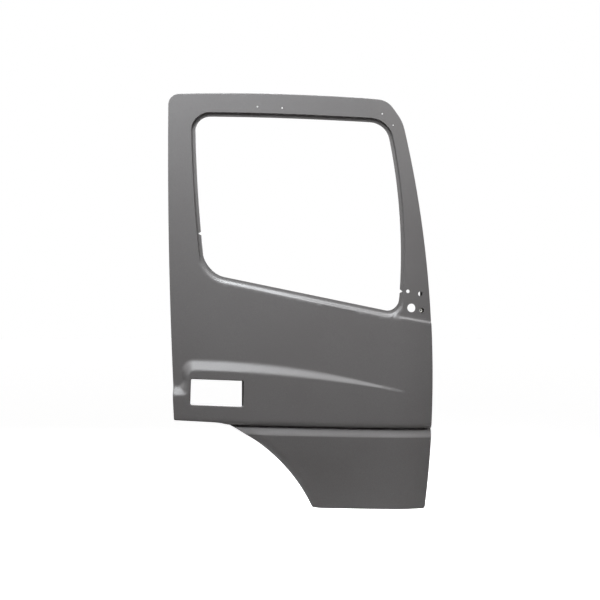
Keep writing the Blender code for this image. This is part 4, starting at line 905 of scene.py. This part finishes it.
def makeInnerPanel():
    form = innerForm
    edge = trace(innerEdge, form["edgeInset"])
    holes = [openingLoop] + apertureLoops + notchLoops()
    for x, z, _ in skinForm["headerHoles"]:
        holes.append(circle(x, z + form["headerRise"], form["headerRadius"], 20))
    holes += [circle(x, z, form["clipRadius"], 16) for x, z in form["clipHoles"]]
    lines = [(trace(innerEdge, sheet["hemFlange"] + share * sheet["wallRun"]), True) for share in bendShares]
    for share in bendShares:
        lines.append((trace(windowEdge, -window["flange"] - share * window["rebateRun"]), True))
    x, z, radius = form["speaker"]
    for share in (0, 0.35, 0.65, 1):
        out = form["recessWidth"] + share * form["recessRun"]
        lines += [(trace(rows, -out), True) for rows in apertures] + [(circle(x, z, radius + out, 64), True)]
        beadEdge = form["beadRadius"] - share * form["recessRun"]
        lines += [(beadLoop(bead, beadEdge), True) for bead in form["beads"]]
    panel = pressed("innerPanel", edge, innerDepth, holes, lines, form["grid"])
    drills = makeDrills()
    finished(panel, sheet["inner"], innerPaint, drills)
    bpy.data.objects.remove(drills, do_unlink=True)
    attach(panel, "root")
    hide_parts("inner_panel")
    return panel


innerPanel = makeInnerPanel()
print("inner panel:", len(innerPanel.data.polygons), "faces")


# Finishes of pieces kept from the model. Every other one gets bracketPaint.
keptFinishes = {
    "hinge_tapping_plate_upper": zincPlate, "hinge_tapping_plate_lower": zincPlate,
    "mirror_bush": zincPlate, "anti_flutter_pad_rear": blackFoam,
    "anti_flutter_pad_middle": blackFoam, "anti_flutter_pad_front": blackFoam,
}
for name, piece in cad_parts.items():
    if name in ("outer_skin", "inner_panel"):
        continue
    finish = keptFinishes.get(name, bracketPaint)
    for slot in piece.material_slots:
        slot.material = finish
print("finishes on", len(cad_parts) - 2, "kept pieces")


# Camera, floor, background and lamps, placed in the door's own coordinates.
studio = {
    "cameraAt": (0.480, -2.6, 0.752), "lens": 43.333, "sensorWidth": 36,
    "floorZ": -0.45, "floorSize": 20, "floorColour": (0.80, 0.80, 0.80, 1), "floorRoughness": 0.9,
    "floorGlow": 0.92, "floorBounce": (0.040, 0.020, 0.013, 1), "sky": (0.012, 0.011, 0.010, 1),
    "aimedAt": (0.45, 0.0, 0.8),
    "lamps": {
        "topLight": {"at": (-0.75, -1.7, 3.7), "size": (3.0, 1.3), "power": 17.5,
                     "colour": (0.925, 0.97, 1.0), "spread": 50},
        "overheadLight": {"at": (0.4, -0.60, 4.0), "size": (2.6, 0.9), "power": 25.5,
                          "colour": (0.925, 0.97, 1.0), "spread": 50},
        "frontLight": {"at": (2.3, -1.5, 2.9), "size": (1.2, 0.8), "power": 7,
                       "colour": (1.0, 0.94, 0.89), "spread": 180},
        "backLight": {"at": (0.8, 3.0, 2.0), "size": (2.4, 2.0), "power": 90,
                      "colour": (1, 1, 1), "spread": 180},
    },
}


def areaLight(name, settings):
    lamp = bpy.data.lights.new(name, "AREA")
    lamp.shape = "RECTANGLE"
    lamp.size, lamp.size_y = settings["size"]
    lamp.energy = settings["power"]
    lamp.color = settings["colour"]
    lamp.spread = math.radians(settings["spread"])
    holder = bpy.data.objects.new(name, lamp)
    holder.location = Vector(settings["at"]) - hingePoint
    aim = Vector(studio["aimedAt"]) - Vector(settings["at"])
    holder.rotation_euler = aim.to_track_quat("-Z", "Y").to_euler()
    bpy.context.scene.collection.objects.link(holder)


# Show white to the camera, in gloss and through glass, and the plain shader to the rest.
def whiteToCamera(tree, plain, white):
    rays = tree.nodes.new("ShaderNodeLightPath")
    either = rays.outputs["Is Camera Ray"]
    for name in ("Is Glossy Ray", "Is Transmission Ray"):
        most = tree.nodes.new("ShaderNodeMath")
        most.operation = "MAXIMUM"
        link(tree, either, most.inputs[0])
        link(tree, rays.outputs[name], most.inputs[1])
        either = most.outputs["Value"]
    mix = tree.nodes.new("ShaderNodeMixShader")
    link(tree, either, mix.inputs["Fac"])
    link(tree, plain, mix.inputs[1])
    link(tree, white, mix.inputs[2])
    return mix.outputs["Shader"]


def makeBackground():
    scene = bpy.context.scene
    scene.view_settings.view_transform = "Standard"
    world = bpy.data.worlds.new("studioWorld")
    world.use_nodes = True
    scene.world = world
    tree = world.node_tree
    soft = tree.nodes["Background"]
    soft.inputs["Color"].default_value = studio["sky"]
    white = tree.nodes.new("ShaderNodeBackground")
    white.inputs["Color"].default_value = (1, 1, 1, 1)
    shown = whiteToCamera(tree, soft.outputs[0], white.outputs[0])
    link(tree, shown, tree.nodes["World Output"].inputs["Surface"])


# Pale floor that keeps the door's shadow, and throws only a little light back up.
def makeFloor():
    mesh = bmesh.new()
    bmesh.ops.create_grid(mesh, x_segments=1, y_segments=1, size=studio["floorSize"])
    floor = placed("floor", mesh)
    floor.location = (0, 0, studio["floorZ"] - hingePoint.z)
    finish, tree, shader = nodeMaterial("floorFinish")
    shader.inputs["Base Color"].default_value = studio["floorColour"]
    shader.inputs["Roughness"].default_value = studio["floorRoughness"]
    bounce = tree.nodes.new("ShaderNodeBsdfDiffuse")
    bounce.inputs["Color"].default_value = studio["floorBounce"]
    glow = tree.nodes.new("ShaderNodeEmission")
    glow.inputs["Strength"].default_value = studio["floorGlow"]
    add = tree.nodes.new("ShaderNodeAddShader")
    link(tree, shader.outputs[0], add.inputs[0])
    link(tree, glow.outputs[0], add.inputs[1])
    shown = whiteToCamera(tree, bounce.outputs[0], add.outputs[0])
    link(tree, shown, tree.nodes["Material Output"].inputs["Surface"])
    floor.data.materials.append(finish)


def makeCamera():
    lens = bpy.data.cameras.new("photoCamera")
    lens.lens = studio["lens"]
    lens.sensor_width = studio["sensorWidth"]
    camera = bpy.data.objects.new("photoCamera", lens)
    camera.location = Vector(studio["cameraAt"]) - hingePoint
    camera.rotation_euler = (math.radians(90), 0, 0)
    bpy.context.scene.collection.objects.link(camera)
    bpy.context.scene.camera = camera


makeBackground()
makeFloor()
for name, settings in studio["lamps"].items():
    areaLight(name, settings)
makeCamera()
print("studio ready")
